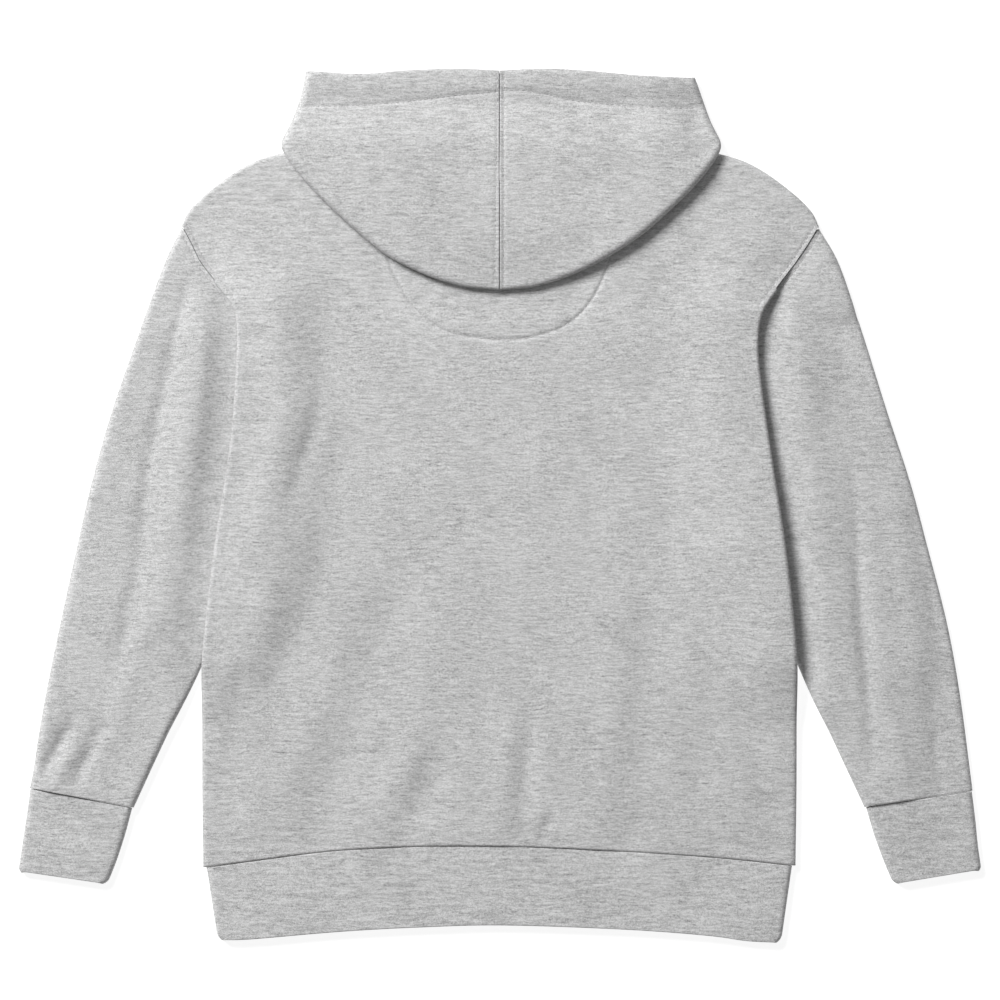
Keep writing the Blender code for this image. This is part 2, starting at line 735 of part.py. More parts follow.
def main():
    for obj in list(bpy.data.objects):
        bpy.data.objects.remove(obj, do_unlink=True)
    garment = bpy.data.objects.new("hoodie", None)
    bpy.context.scene.collection.objects.link(garment)
    garment.location = (-OFF_CENTRE_X * MM, -OFF_CENTRE_Y * MM, 0.0)

    panel("front", front_mid, -1, FRONT_NECK_DROP - BACK_NECK_DROP, -1.2, 20, 9, 21, garment)
    panel("back", back_mid, 1, 0.0, 1.0, 20, 9, 21, garment)
    sleeve("sleeve_left", SLEEVE_LEFT, SLEEVE_FOLDS_LEFT, BODY_LEFT, 20, garment)
    sleeve("sleeve_right", SLEEVE_RIGHT, SLEEVE_FOLDS_RIGHT, BODY_RIGHT, 20, garment)
    cuff("cuff_left", CUFF_LEFT, 5, garment)
    cuff("cuff_right", CUFF_RIGHT, 5, garment)
    waistband(garment)
    hood_half("hood_left", -1, HOOD_EDGE_LEFT, HOOD_SIDE_LEFT, HOOD_FOLD_LEFT, 14, 7, 7, garment)
    hood_half("hood_right", 1, HOOD_EDGE_RIGHT, HOOD_SIDE_RIGHT, HOOD_FOLD_RIGHT, 14, 7, 7, garment)


main()
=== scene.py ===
import json
import math
from collections import namedtuple

import bmesh
import bpy
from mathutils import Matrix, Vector, noise
from mathutils.bvhtree import BVHTree

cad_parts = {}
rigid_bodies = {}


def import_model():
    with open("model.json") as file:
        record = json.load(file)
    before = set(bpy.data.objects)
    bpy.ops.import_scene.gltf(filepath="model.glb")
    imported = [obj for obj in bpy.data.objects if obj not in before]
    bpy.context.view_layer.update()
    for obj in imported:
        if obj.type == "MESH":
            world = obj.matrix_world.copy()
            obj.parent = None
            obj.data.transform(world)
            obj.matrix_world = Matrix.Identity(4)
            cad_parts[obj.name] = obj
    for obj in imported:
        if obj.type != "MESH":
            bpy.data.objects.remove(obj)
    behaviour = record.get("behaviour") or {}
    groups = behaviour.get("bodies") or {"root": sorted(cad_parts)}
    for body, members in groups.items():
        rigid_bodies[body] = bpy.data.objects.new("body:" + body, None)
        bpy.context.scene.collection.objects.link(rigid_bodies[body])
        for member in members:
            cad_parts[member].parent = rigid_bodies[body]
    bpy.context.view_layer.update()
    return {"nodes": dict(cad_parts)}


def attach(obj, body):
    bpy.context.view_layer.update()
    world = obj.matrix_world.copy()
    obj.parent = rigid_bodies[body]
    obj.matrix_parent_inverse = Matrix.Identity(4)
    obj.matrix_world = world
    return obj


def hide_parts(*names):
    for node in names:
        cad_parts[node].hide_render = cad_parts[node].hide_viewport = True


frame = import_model()
print("frame: toddler hoodie,", len(frame["nodes"]), "CAD nodes")

mm = 0.001  # every size below is in millimetres, on the part's own axes
edgeRow = namedtuple("edgeRow", "x y rolled lift")  # rolled 0 seam, 1 fold; lift 1 over a sleeve
spot = namedtuple("spot", "x y")
sleeveRow = namedtuple("sleeveRow", "outerX outerY innerX innerY atSeam")
crease = namedtuple("crease", "route width height")

cloth = {
    "wall": 2.4,
    "bandWall": 2.8,
    "seamGap": 0.08,
    "layerGap": 0.5,
    "centreX": 0.25,  # the tables below are moved by these two onto the part's origin
    "centreY": 0.41,
    "edgeRoll": 2.6,
    "leastLoft": 0.5,
    "mostLoft": 6.5,
    "mergeWithin": 0.004,
}
creaseForm = {
    "reach": 3,  # how far a crease works, in its own widths
    "fade": (0.12, 0.76),  # the stretch of half a sine wave that its height follows from end to end
    "fullness": 0.8,
    "uneven": (0.86, 0.14, 7.0),  # its mean height, how much it varies, and how often
}
floorMid = cloth["wall"] / 2
underSleeve = 2 * cloth["wall"] + 2.4 * cloth["layerGap"]  # the body's full rise over a sleeve


# Small helpers.


def table(kind, rows):
    return [kind(*row) for row in rows]


def ease(value):
    value = min(max(value, 0.0), 1.0)
    return value * value * (3 - 2 * value)


def blendOf(a, b, share):
    return a + (b - a) * share


def clamp(value, low, high):
    return min(max(value, low), high)


def mirrored(spots):
    return [spot(-point.x, point.y) for point in spots]


def smoothColumn(rows, t, name):
    # one column of a table on a Catmull-Rom curve; t runs from 0 to 1 over its rows
    place = clamp(t, 0.0, 1.0) * (len(rows) - 1)
    i = min(int(place), len(rows) - 2)
    f = place - i
    b, c = getattr(rows[i], name), getattr(rows[i + 1], name)
    a = getattr(rows[i - 1], name) if i > 0 else 2 * b - c
    d = getattr(rows[i + 2], name) if i + 2 < len(rows) else 2 * c - b
    return b + 0.5 * f * (c - a + f * (2 * a - 5 * b + 4 * c - d + f * (3 * (b - c) + d - a)))


def along(rows, t):
    return smoothColumn(rows, t, "x"), smoothColumn(rows, t, "y")


def atHeight(rows, y, name):
    # a column of an edge table, read at a place along the garment
    if y >= rows[0].y:
        return getattr(rows[0], name)
    for above, below in zip(rows, rows[1:]):
        if y >= below.y:
            share = (above.y - y) / (above.y - below.y)
            return blendOf(getattr(above, name), getattr(below, name), share)
    return getattr(rows[-1], name)


def edgeAt(rows, y):
    # how far across an edge table's smooth curve lies, at a place along the garment
    low, high = 0.0, 1.0
    for _ in range(24):  # halves the span each time
        middle = (low + high) / 2
        if smoothColumn(rows, middle, "y") > y:
            low = middle
        else:
            high = middle
    return smoothColumn(rows, low, "x")


def coons(top, bottom, left, right, u, v):
    # a point of the patch between four edge curves; u runs left to right, v top to bottom
    def axisAt(axis):
        across = blendOf(top(u)[axis], bottom(u)[axis], v) + blendOf(left(v)[axis], right(v)[axis], u)
        upper = blendOf(top(0)[axis], top(1)[axis], u)
        lower = blendOf(bottom(0)[axis], bottom(1)[axis], u)
        return across - blendOf(upper, lower, v)
    return axisAt(0), axisAt(1)


def stops(length, fine, fineSteps, middleSteps):
    # distances from one edge to the other, close together within `fine` of both
    near = [fine * i / fineSteps for i in range(fineSteps)]
    middle = [fine + (length - 2 * fine) * i / middleSteps for i in range(middleSteps + 1)]
    return near + middle + [length - d for d in reversed(near)]


def sharesAlong(length, fine, fineSteps, middleSteps):
    return [distance / length for distance in stops(length, fine, fineSteps, middleSteps)]


def creaseHeight(creases, x, y):
    # soft ridges and troughs: bell shaped across, fading in and out along an uneven run
    total = 0.0
    fadeFrom, fadeRun = creaseForm["fade"]
    mean, change, often = creaseForm["uneven"]
    for one in creases:
        reach = creaseForm["reach"] * one.width
        xs = [p[0] for p in one.route]
        ys = [p[1] for p in one.route]
        if not (min(xs) - reach < x < max(xs) + reach and min(ys) - reach < y < max(ys) + reach):
            continue
        legs = [math.dist(a, b) for a, b in zip(one.route, one.route[1:])]
        whole = sum(legs)
        nearest, at, done = 1e9, 0.0, 0.0
        for a, b, leg in zip(one.route, one.route[1:], legs):
            s = ((x - a[0]) * (b[0] - a[0]) + (y - a[1]) * (b[1] - a[1])) / leg**2
            s = clamp(s, 0.0, 1.0)
            away = math.hypot(x - blendOf(a[0], b[0], s), y - blendOf(a[1], b[1], s))
            if away < nearest:
                nearest, at = away, (done + s * leg) / whole
            done += leg
        if nearest < reach:
            swell = math.sin(math.pi * clamp(fadeFrom + fadeRun * at, 0, 1)) ** creaseForm["fullness"]
            uneven = mean + change * math.sin(often * at + xs[0])
            total += one.height * swell * uneven * math.exp(-((nearest / one.width) ** 2))
    return total


def waver(x, y, waves):
    # the slight unevenness of cloth that lies by itself; each wave has a length, a height and a seed
    total = 0.0
    for length, height, seed in waves:
        total += height * noise.noise(Vector((x / length, y / length, seed)))
    return total


# Shader maths: a wrapped socket, so that sums on it add Math nodes.


class Wire:
    def __init__(self, tree, socket=None):
        self.tree = tree
        self.socket = socket

    def node(self, kind, settings=None, inputs=None, output=0):
        made = self.tree.nodes.new("ShaderNode" + kind)
        for name, value in (settings or {}).items():
            setattr(made, name, value)
        for name, value in (inputs or {}).items():
            if isinstance(value, Wire):
                self.tree.links.new(value.socket, made.inputs[name])
            else:
                made.inputs[name].default_value = value
        return Wire(self.tree, made.outputs[output])

    def sum(self, operation, first, second):
        return self.node("Math", {"operation": operation}, {0: first, 1: second})

    def __add__(self, other):
        return self.sum("ADD", self, other)

    def __radd__(self, other):
        return self.sum("ADD", other, self)

    def __sub__(self, other):
        return self.sum("SUBTRACT", self, other)

    def __rsub__(self, other):
        return self.sum("SUBTRACT", other, self)

    def __mul__(self, other):
        return self.sum("MULTIPLY", self, other)

    def __rmul__(self, other):
        return self.sum("MULTIPLY", other, self)


heather = {
    "dark": 0.20,
    "light": 0.655,
    "balance": 0.66,  # share of the light fibre
    "streaks": [  # length and height of a fleck in mm, how strong, how fine
        (11.0, 1.3, 0.8, 2.0),
        (4.2, 0.9, 0.85, 2.0),
        (1.3, 0.8, 0.6, 1.0),
    ],
    "fleck": (3.4, 0.75, 0.60, 2.4),  # sparse darker fibres: length, height, from which level, how strong
    "mottle": (38.0, 0.25),
    "grain": (0.5, 1.7),
    "drift": (30.0, 2.2),  # how far the streaks wander up and down over such a run
    "layerShift": (3.7, 1.9, 0.6),  # keeps the layers of streaks apart
    "fleckShift": (9.1, 4.3, 2.2),
    "relief": 0.3,
    "bump": 0.22,
    "bumpDepth": 0.4,
    "roughness": 0.92,
    "specular": 0.2,
    "sheen": 0.12,
    "sheenRoughness": 0.5,
}


def stretchedNoise(place, drifted, shift, length, height, detail):
    # noise whose spots are so long and so high
    stretched = place.node("Mapping", {}, {
        "Vector": drifted, "Location": shift,
        "Scale": (1 / (length * mm), 1 / (height * mm), 1 / (height * 2 * mm)),
    })
    return place.node("TexNoise", {}, {"Vector": stretched, "Scale": 1.0, "Detail": detail})


def roundNoise(place, size, detail=2.0):
    return place.node("TexNoise", {}, {"Vector": place, "Scale": 1 / (size * mm), "Detail": detail})


def heatherCloth(name, look=heather):
    # knitted fleece of light and dark fibres, their streaks running across the garment
    material = bpy.data.materials.new(name)
    material.use_nodes = True
    tree = material.node_tree
    shader = tree.nodes["Principled BSDF"]
    start = Wire(tree)
    place = start.node("TexCoord", output="Object")
    run, rise = look["drift"]
    wander = roundNoise(place, run, 1.0)
    shift = place.node("CombineXYZ", {}, {"Y": (wander - 0.5) * (rise * 2 * mm)})
    drifted = place.node("VectorMath", {"operation": "ADD"}, {0: place, 1: shift})
    fibre = look["balance"]
    relief = 0.0
    for index, (length, height, strength, detail) in enumerate(look["streaks"]):
        apart = [part * index for part in look["layerShift"]]
        flecks = stretchedNoise(place, drifted, apart, length, height, detail)
        fibre = (flecks - 0.5) * strength + fibre
        relief = flecks * (look["relief"] * strength) + relief
    length, height, level, strength = look["fleck"]
    sparse = stretchedNoise(place, drifted, look["fleckShift"], length, height, 2.0)
    fibre = fibre - place.node("Clamp", {}, {"Value": (sparse - level) * strength})
    mottleSize, mottleStrength = look["mottle"]
    mottle = roundNoise(place, mottleSize)
    grainSize, grainStrength = look["grain"]
    grain = roundNoise(place, grainSize)
    fibre = (mottle - 0.5) * mottleStrength + (grain - 0.5) * grainStrength + fibre
    share = place.node("Clamp", {}, {"Value": fibre})
    dark, light = look["dark"], look["light"]
    colour = place.node("Mix", {"data_type": "RGBA"}, {
        "Factor": share, 6: (dark, dark, dark, 1), 7: (light, light, light, 1),
    }, output=2)
    tree.links.new(colour.socket, shader.inputs["Base Color"])
    bump = place.node("Bump", {}, {
        "Strength": look["bump"], "Distance": look["bumpDepth"] * mm, "Height": grain + relief,
    })
    tree.links.new(bump.socket, shader.inputs["Normal"])
    shader.inputs["Roughness"].default_value = look["roughness"]
    shader.inputs["Specular IOR Level"].default_value = look["specular"]
    shader.inputs["Sheen Weight"].default_value = look["sheen"]
    shader.inputs["Sheen Roughness"].default_value = look["sheenRoughness"]
    return material


fleeceFinish = heatherCloth("heatherFleece")
threadFinish = heatherCloth("greyThread", {**heather, "streaks": [(2.0, 0.8, 0.6, 1.0)], "balance": 0.62})


# Cloth walls from a grid whose points are placed by a mapping.


def clothGrid(shape, columns, rows, place):
    # adds a grid of columns by rows cells; place(i, j) gives a point in mm
    made = bmesh.ops.create_grid(shape, x_segments=columns, y_segments=rows, size=0.5)
    for vert in made["verts"]:
        i = round((vert.co.x + 0.5) * columns)
        j = round((vert.co.y + 0.5) * rows)
        x, y, z = place(i, j)
        vert.co = ((x - cloth["centreX"]) * mm, (y - cloth["centreY"]) * mm, z * mm)


def mergeDoubles(shape):
    bmesh.ops.remove_doubles(shape, verts=shape.verts, dist=cloth["mergeWithin"] * mm)


def finishPiece(name, shape, material, node=None, wall=None):
    # a piece that replaces a CAD node is named after it, and its wall lies half to each side of its grid
    mergeDoubles(shape)
    bmesh.ops.recalc_face_normals(shape, faces=shape.faces)
    if node:
        name = node + "_cloth"
    mesh = bpy.data.meshes.new(name)
    shape.to_mesh(mesh)
    shape.free()
    mesh.shade_smooth()
    mesh.materials.append(material)
    piece = bpy.data.objects.new(name, mesh)
    bpy.context.scene.collection.objects.link(piece)
    if wall:
        shell = piece.modifiers.new("clothWall", "SOLIDIFY")
        shell.thickness = wall * mm
        shell.offset = 0.0
        shell.use_rim = True
    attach(piece, "root")
    if node:
        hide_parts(node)
    return piece


# The outline tables of the laid garment.

bodyLeft = table(edgeRow, [
    (-183.5, 162.5, 0, 0), (-178.5, 153.0, 0, 0), (-173.0, 142.0, 0, 0), (-165.0, 131.5, 0, 0.5),
    (-155.5, 119.0, 0.3, 1), (-151.5, 106.0, 1, 1), (-152.0, 79.5, 1, 1), (-155.5, 35.5, 1, 1),
    (-164.0, -19.0, 1, 1), (-168.5, -54.0, 1, 1), (-172.0, -89.5, 1, 1), (-172.0, -126.0, 1, 0.1),
    (-172.0, -166.0, 1, 0), (-171.5, -209.0, 1, 0),
])
bodyRight = table(edgeRow, [
    (184.5, 162.0, 0, 0), (178.5, 152.0, 0, 0), (170.0, 139.5, 0, 0), (160.5, 127.0, 0, 0.5),
    (152.0, 114.0, 0.3, 1), (149.5, 100.0, 1, 1), (150.0, 79.5, 1, 1), (156.5, 33.0, 1, 1),
    (164.5, -18.0, 1, 1), (169.0, -54.0, 1, 1), (172.0, -89.5, 1, 1), (172.0, -126.0, 1, 0.1),
    (172.0, -166.0, 1, 0), (171.5, -208.0, 1, 0),
])
shoulderLeft = table(spot, [  # from the sleeve's shoulder point to the side of the neck
    (-184.0, 162.5), (-179.5, 171.5), (-169.5, 181.5), (-152.0, 194.5), (-136.0, 202.0),
    (-115.0, 206.5), (-90.0, 208.5), (-66.0, 209.0),
])
waistSeam = table(spot, [
    (-171.5, -209.0), (-138.0, -204.5), (-97.5, -199.5), (-52.5, -197.0), (-8.0, -196.5),
    (39.5, -198.0), (86.5, -200.5), (134.5, -204.0), (171.5, -208.0),
])
bandEdge = table(spot, [
    (-162.5, -251.0), (-145.5, -250.5), (-91.0, -246.0), (-43.0, -243.5), (4.0, -242.5), (75.0, -245.0),
    (122.5, -248.5), (145.0, -251.5), (162.5, -252.5),
])
sleeveLeft = table(sleeveRow, [
    (-183.5, 162.5, -146.0, 107.0, 1), (-194.5, 140.0, -146.5, 86.0, 0.4),
    (-210.0, 98.0, -143.0, 58.0, 0), (-224.5, 56.5, -140.0, 25.0, 0), (-236.5, 14.5, -142.5, -7.5, 0),
    (-246.0, -27.5, -152.5, -42.5, 0), (-255.0, -69.0, -172.0, -90.5, 0),
    (-263.5, -111.0, -192.5, -132.0, 0), (-272.5, -163.0, -212.0, -174.0, 0),
])
sleeveRight = table(sleeveRow, [
    (184.5, 162.0, 144.0, 105.0, 1), (197.0, 140.0, 144.5, 85.0, 0.4), (211.5, 98.0, 141.5, 57.0, 0),
    (224.5, 56.5, 140.0, 24.5, 0), (238.0, 14.5, 143.0, -7.5, 0), (249.5, -27.5, 153.0, -42.5, 0),
    (260.0, -69.0, 172.0, -89.5, 0), (267.5, -111.0, 191.5, -131.0, 0),
    (274.5, -164.5, 211.5, -173.5, 0),
])
cuffLeft = table(sleeveRow, [
    (-272.0, -163.5, -213.0, -174.5, 0), (-274.5, -181.0, -217.5, -191.0, 0),
    (-277.0, -197.0, -222.5, -206.0, 0), (-279.0, -211.0, -227.5, -218.5, 0),
])
cuffRight = table(sleeveRow, [
    (274.0, -165.0, 212.5, -174.0, 0), (276.0, -181.0, 217.5, -190.5, 0),
    (277.5, -196.0, 223.0, -205.5, 0), (279.5, -210.0, 228.5, -218.5, 0),
])


# Seams: cloth pressed in along a line, and stitches that lie on it.

pressed = namedtuple("pressed", "route width depth")
seams = {
    "stitch": 2.7,
    "between": 0.6,
    "thread": 0.46,  # across
    "sides": 6,
    "steps": 5,
    "cuts": 3,
    "pressReach": 2.2,  # how far a pressed line works, in its own widths
    "boxMargin": 6,  # points this far outside its box are passed over
    "cutMargin": 1.6,  # finer cells this far past it, where a cell is longer than the next value
    "cutAbove": 0.9,
    "lookFrom": 40.0,  # the threads find the cloth from this height
    "mostSlope": 1.2,  # no stitch where its two ends differ by more
    "threadRise": (0.55, 0.9),  # of its radius: at its middle, and how far its ends dip
    "asideArmhole": 2.5,
    "armholeFrom": 0.004,  # the armhole's stretch of the body's side edge, in shares of it
    "armholeTo": 0.30,
    "pressHalfMoon": (1.3, 0.75),  # width and depth
    "pressArmholeLeft": (1.1, 0.55),
    "pressArmholeRight": (1.1, 0.4),
    "pressHidden": (1.6, -0.5),
    "pressHem": (1.5, 0.55),
    "pressMiddleLeft": (1.1, 0.35),
    "pressMiddleRight": (1.1, 0.55),
    "halfMoon": table(spot, [
        (-65.5, 152.0), (-62.9, 138.6), (-53.7, 121.8), (-45.5, 111.9), (-31.0, 102.1), (-16.0, 98.6),
        (2.0, 96.9), (18.9, 98.6), (35.1, 103.8), (46.7, 111.9), (56.6, 125.3), (62.9, 140.9),
        (65.5, 152.0),
    ]),
    "hemLeft": table(spot, [
        (-2.0, 240.4), (-24.1, 238.4), (-53.1, 234.9), (-78.6, 232.6), (-100.6, 232.0), (-113.0, 232.2),
    ]),
    "hemRight": table(spot, [
        (2.0, 241.3), (13.1, 241.3), (27.0, 239.0), (45.5, 234.9), (71.1, 232.6), (96.6, 230.8),
        (115.0, 231.5),
    ]),
    "middleLeft": table(spot, [(-1.3, 250.0), (-1.7, 215.0), (-2.6, 170.0), (-2.9, 129.0)]),
    "middleRight": table(spot, [(2.5, 250.0), (2.4, 215.0), (2.4, 170.0), (2.4, 129.0)]),
}


def smoothRoute(rows, first=0.0, last=1.0, count=28):
    return [along(rows, blendOf(first, last, i / count)) for i in range(count + 1)]


def aside(route, distance):
    # the route moved to its left by a distance
    moved = []
    for i, (x, y) in enumerate(route):
        before, after = route[max(i - 1, 0)], route[min(i + 1, len(route) - 1)]
        run, rise = after[0] - before[0], after[1] - before[1]
        length = math.hypot(run, rise)
        moved.append((x - rise / length * distance, y + run / length * distance))
    return moved


def awayFrom(route, x, y):
    nearest = 1e9
    for a, b in zip(route, route[1:]):
        run, rise = b[0] - a[0], b[1] - a[1]
        share = clamp(((x - a[0]) * run + (y - a[1]) * rise) / (run * run + rise * rise), 0, 1)
        nearest = min(nearest, math.hypot(x - a[0] - run * share, y - a[1] - rise * share))
    return nearest


def pressLines(shape, lines, onTop):
    # finer cells beside each line, then the line pressed in; onTop picks the layer that shows
    for line in lines:
        reach = line.width * seams["pressReach"]
        margin = seams["boxMargin"]
        xs = [p[0] for p in line.route]
        ys = [p[1] for p in line.route]
        left, right = min(xs) - margin, max(xs) + margin
        bottom, top = min(ys) - margin, max(ys) + margin

        def distance(vert):
            x, y = vert.co.x / mm + cloth["centreX"], vert.co.y / mm + cloth["centreY"]
            if not (left < x < right and bottom < y < top):
                return 1e9
            return awayFrom(line.route, x, y) if onTop(x, y, vert.co.z / mm) else 1e9

        near = {vert: distance(vert) for vert in shape.verts}
        within, shortest = reach + seams["cutMargin"], seams["cutAbove"] * mm
        edges = [edge for edge in shape.edges
                 if all(near[vert] < within for vert in edge.verts) and edge.calc_length() > shortest]
        bmesh.ops.subdivide_edges(shape, edges=edges, cuts=seams["cuts"], use_grid_fill=True)
        for vert in shape.verts:
            away = near[vert] if vert in near else distance(vert)
            if away < reach:
                vert.co.z -= line.depth * mm * math.exp(-((away / line.width) ** 2))


def stitchRow(name, piece, route, fromAbove=True):
    # short round threads laid on the piece's own surface along a route
    tree = BVHTree.FromObject(piece, bpy.context.evaluated_depsgraph_get())
    legs = [math.dist(a, b) for a, b in zip(route, route[1:])]
    radius = seams["thread"] / 2
    facing = 1 if fromAbove else -1
    start = facing * seams["lookFrom"] * mm
    middleRise, endDip = seams["threadRise"]

    def pointAt(distance):
        for a, b, leg in zip(route, route[1:], legs):
            if distance <= leg:
                share = distance / leg
                return blendOf(a[0], b[0], share), blendOf(a[1], b[1], share)
            distance -= leg
        return route[-1]

    def surface(x, y):
        origin = Vector(((x - cloth["centreX"]) * mm, (y - cloth["centreY"]) * mm, start))
        found = tree.ray_cast(origin, Vector((0, 0, -facing)))[0]
        return found.z / mm if found else None

    shape = bmesh.new()
    step = seams["stitch"] + seams["between"]
    for k in range(int(sum(legs) / step)):
        first, last = pointAt(k * step), pointAt(k * step + seams["stitch"])
        heights = [surface(*first), surface(*last)]
        if None in heights or abs(heights[0] - heights[1]) > seams["mostSlope"]:
            continue
        length = math.dist(first, last)
        aslant = ((first[1] - last[1]) / length, (last[0] - first[0]) / length)

        def place(i, j):
            share = j / seams["steps"]
            thick = radius * math.sqrt(max(1 - abs(2 * share - 1) ** 3, 0.0))
            turn = 2 * math.pi * i / seams["sides"]
            out, up = thick * math.cos(turn), thick * math.sin(turn)
            lift = facing * radius * (middleRise - endDip * abs(2 * share - 1) ** 2)
            return (blendOf(first[0], last[0], share) + aslant[0] * out,
                    blendOf(first[1], last[1], share) + aslant[1] * out,
                    blendOf(heights[0], heights[1], share) + lift + up)

        clothGrid(shape, seams["sides"], seams["steps"], place)
    finishPiece(name, shape, threadFinish)


# Body: front and back panels.

body = {
    "loft": 2.2,  # air between front and back
    "edgeLoftLeft": 0.8,  # at the side folds over the sleeves
    "edgeLoftRight": 1.9,
    "riseLeft": (51.0, 36.0),  # where the back starts to rise over a sleeve, and over what run
    "riseRight": (54.0, 48.0),
    "backNeckDrop": 19.0,
    "frontNeckDrop": 40.0,
    "neckFade": 0.6,
    "panelWidth": 345.0,
    "panelHeight": 400.0,
    "shoulderShare": 0.32,  # of the upper edge, on each side of the neck
    "neckBlend": (0.02, 0.03),  # where the edge's roll ends beside the neck and at the sleeve, in shares
    "sleeveBlend": 0.04,
    "seamBlend": (1.0, 12.0),  # how far from the edge a seam's reach fades out
    "fineEdge": 9.0,  # the grid is close within this of every edge
    "fineSteps": 9,
    "frontCells": (100, 112),  # columns and rows between the close ones
    "backCells": (150, 176),
    "frontSeam": -0.1,  # how near each panel reaches to a sewn edge, 1 for right up to it
    "backSeam": 1.0,
    "rollFrom": 30.0,  # the angle at which a folded edge starts to turn in
    "rollAngles": (0, 15, 30, 42, 54, 66, 78, 90),
    "backCreases": [
        crease([(-103, 66), (-111, 36), (-120, 10)], 6, -1.5),
        crease([(-112, 40), (-128, -4), (-146, -56)], 15, -1.7),
        crease([(-122, 52), (-136, 2), (-150, -48)], 12, 1.3),
        crease([(-146, -40), (-153, -92), (-156, -134), (-160, -176)], 10, -1.7),
        crease([(-62, -42), (-78, -92), (-91, -134), (-108, -188)], 17, -2.5),
        crease([(-80, -48), (-98, -104), (-118, -160)], 17, 2.0),
        crease([(18, -118), (16, -150), (13, -190)], 6, -1.4),
        crease([(6, -122), (3, -152), (0, -188)], 8, 1.3),
        crease([(-29, -122), (-40, -158), (-50, -186)], 11, -1.5),
        crease([(-46, -128), (-57, -160), (-68, -184)], 10, 1.3),
        crease([(88, -30), (84, -110), (77, -188)], 12, -1.2),
        crease([(70, -60), (66, -130), (58, -186)], 13, 1.3),
        crease([(150, -120), (158, -160), (164, -200)], 9, -1.6),
        crease([(31, -178), (27, -186), (24, -192)], 3.2, -1.6),
        crease([(112, -140), (118, -166), (128, -192)], 10, -1.3),
    ],
    "frontCreases": [  # hollows of the hidden side that lies on the floor
        crease([(-96, 40), (-112, -20), (-130, -80)], 12, 1.1),
        crease([(-40, -60), (-58, -120), (-76, -180)], 15, 1.2),
        crease([(24, -110), (20, -150), (14, -188)], 8, 0.9),
        crease([(70, -30), (78, -100), (92, -176)], 14, 1.1),
        crease([(112, 60), (120, 0), (136, -70)], 11, 0.9),
        crease([(-10, 120), (6, 84), (34, 50)], 13, 0.8),
        crease([(134, -116), (146, -150), (150, -190)], 9, 1.0),
    ],
    "mostHollow": 1.3,  # where two of them meet
    "riseFront": (24.0, 18.0),  # the front's rise over a sleeve starts nearer to its edge
    "edgeBlend": (4.0, 26.0),  # creases fade in over such a run, this far from the side edge
    "hoodFrom": (95.0, 30.0),  # above this the hood hides the back, which lies smooth
    "middleLoft": 0.6,  # more air away from the edges
    "waves": [(46.0, 0.55, 0.0), (17.0, 0.16, 4.0)],  # how long, how high, and a seed
    "waistFall": (0.55, -184.0, 16.0),  # down to the height of the band at the waist seam
    "early": 0.5,  # the share of its rise that the back makes above the fold
    "liftFrom": (180.0, 61.0),  # the back starts its rise at the sleeves further up, over such a run
    "liftEnd": 80.0,
    "rightEdge": (3.0, 70.0, 90.0),  # more air there: how much, from where down, over what run
    "rightEdgeReach": (6.0, 30.0),  # all of it up to so far from the edge, and none past such a run
}


def sideTable(x):
    return bodyLeft if x < 0 else bodyRight


def sleeveInner(y, side):
    # how far out the hidden inner edge of a sleeve lies
    rows = sleeveLeft if side < 0 else sleeveRight
    return atHeight([spot(abs(row.innerX), row.innerY) for row in rows], y, "x")


def riseAcross(x, y, start, run):
    # how much of its rise over a sleeve the body has made; it starts inside the sleeve's hidden edge
    return ease((abs(x) - sleeveInner(y, -1 if x < 0 else 1) + start) / run)


def overSleeve(x, y, start, run):
    return underSleeve * atHeight(sideTable(x), y, "lift") * riseAcross(x, y, start, run)


def earlyRise(x, y, start, run):
    # what the back has already risen above the place where the fold over a sleeve begins
    top, length = body["liftFrom"]
    early = ease((top - y) / length) - atHeight(sideTable(x), y, "lift")
    if y <= body["liftEnd"]:
        return 0.0
    return body["early"] * underSleeve * max(early, 0.0) * riseAcross(x, y, start, run)


def frontMid(x, y):
    hollow = clamp(creaseHeight(body["frontCreases"], x, y), 0.0, body["mostHollow"])
    return floorMid + hollow + overSleeve(x, y, *body["riseFront"])


def backLoft(x, y):
    rows = sideTable(x)
    inset = abs(atHeight(rows, y, "x")) - abs(x)
    margin, fade = body["edgeBlend"]
    edge = ease((inset - margin) / fade)
    lifted = atHeight(rows, y, "lift")
    hoodY, hoodRun = body["hoodFrom"]
    belowHood = 1 - ease((y - hoodY) / hoodRun)
    atEdge = blendOf(body["loft"], body["edgeLoftLeft"] if x < 0 else body["edgeLoftRight"], lifted)
    loft = blendOf(atEdge, body["loft"] + body["middleLoft"] * belowHood, edge)
    start, run = body["riseLeft"] if x < 0 else body["riseRight"]
    loft += earlyRise(x, y, start, run) * edge
    if x > 0:
        more, top, length = body["rightEdge"]
        margin, fade = body["rightEdgeReach"]
        loft += more * lifted * ease((top - y) / length) * ease(1 - (inset - margin) / fade)
    loft += creaseHeight(body["backCreases"], x, y) * belowHood * edge
    loft += waver(x, y, body["waves"]) * belowHood * edge
    fall, top, length = body["waistFall"]
    loft -= fall * ease((top - y) / length)
    return clamp(loft, cloth["leastLoft"], cloth["mostLoft"])


def backMid(x, y):
    # rises further in than the front, and more gently on the right
    start, run = body["riseLeft"] if x < 0 else body["riseRight"]
    return floorMid + overSleeve(x, y, start, run) + cloth["wall"] + backLoft(x, y)


def rollAt(angle):
    # inset from the outline and share of the height at a step round a rolled edge
    turned = math.radians(max(angle - body["rollFrom"], 0.0) * 90.0 / (90.0 - body["rollFrom"]))
    return cloth["wall"] / 2 + cloth["edgeRoll"] * (1 - math.cos(turned)), math.sin(math.radians(angle))


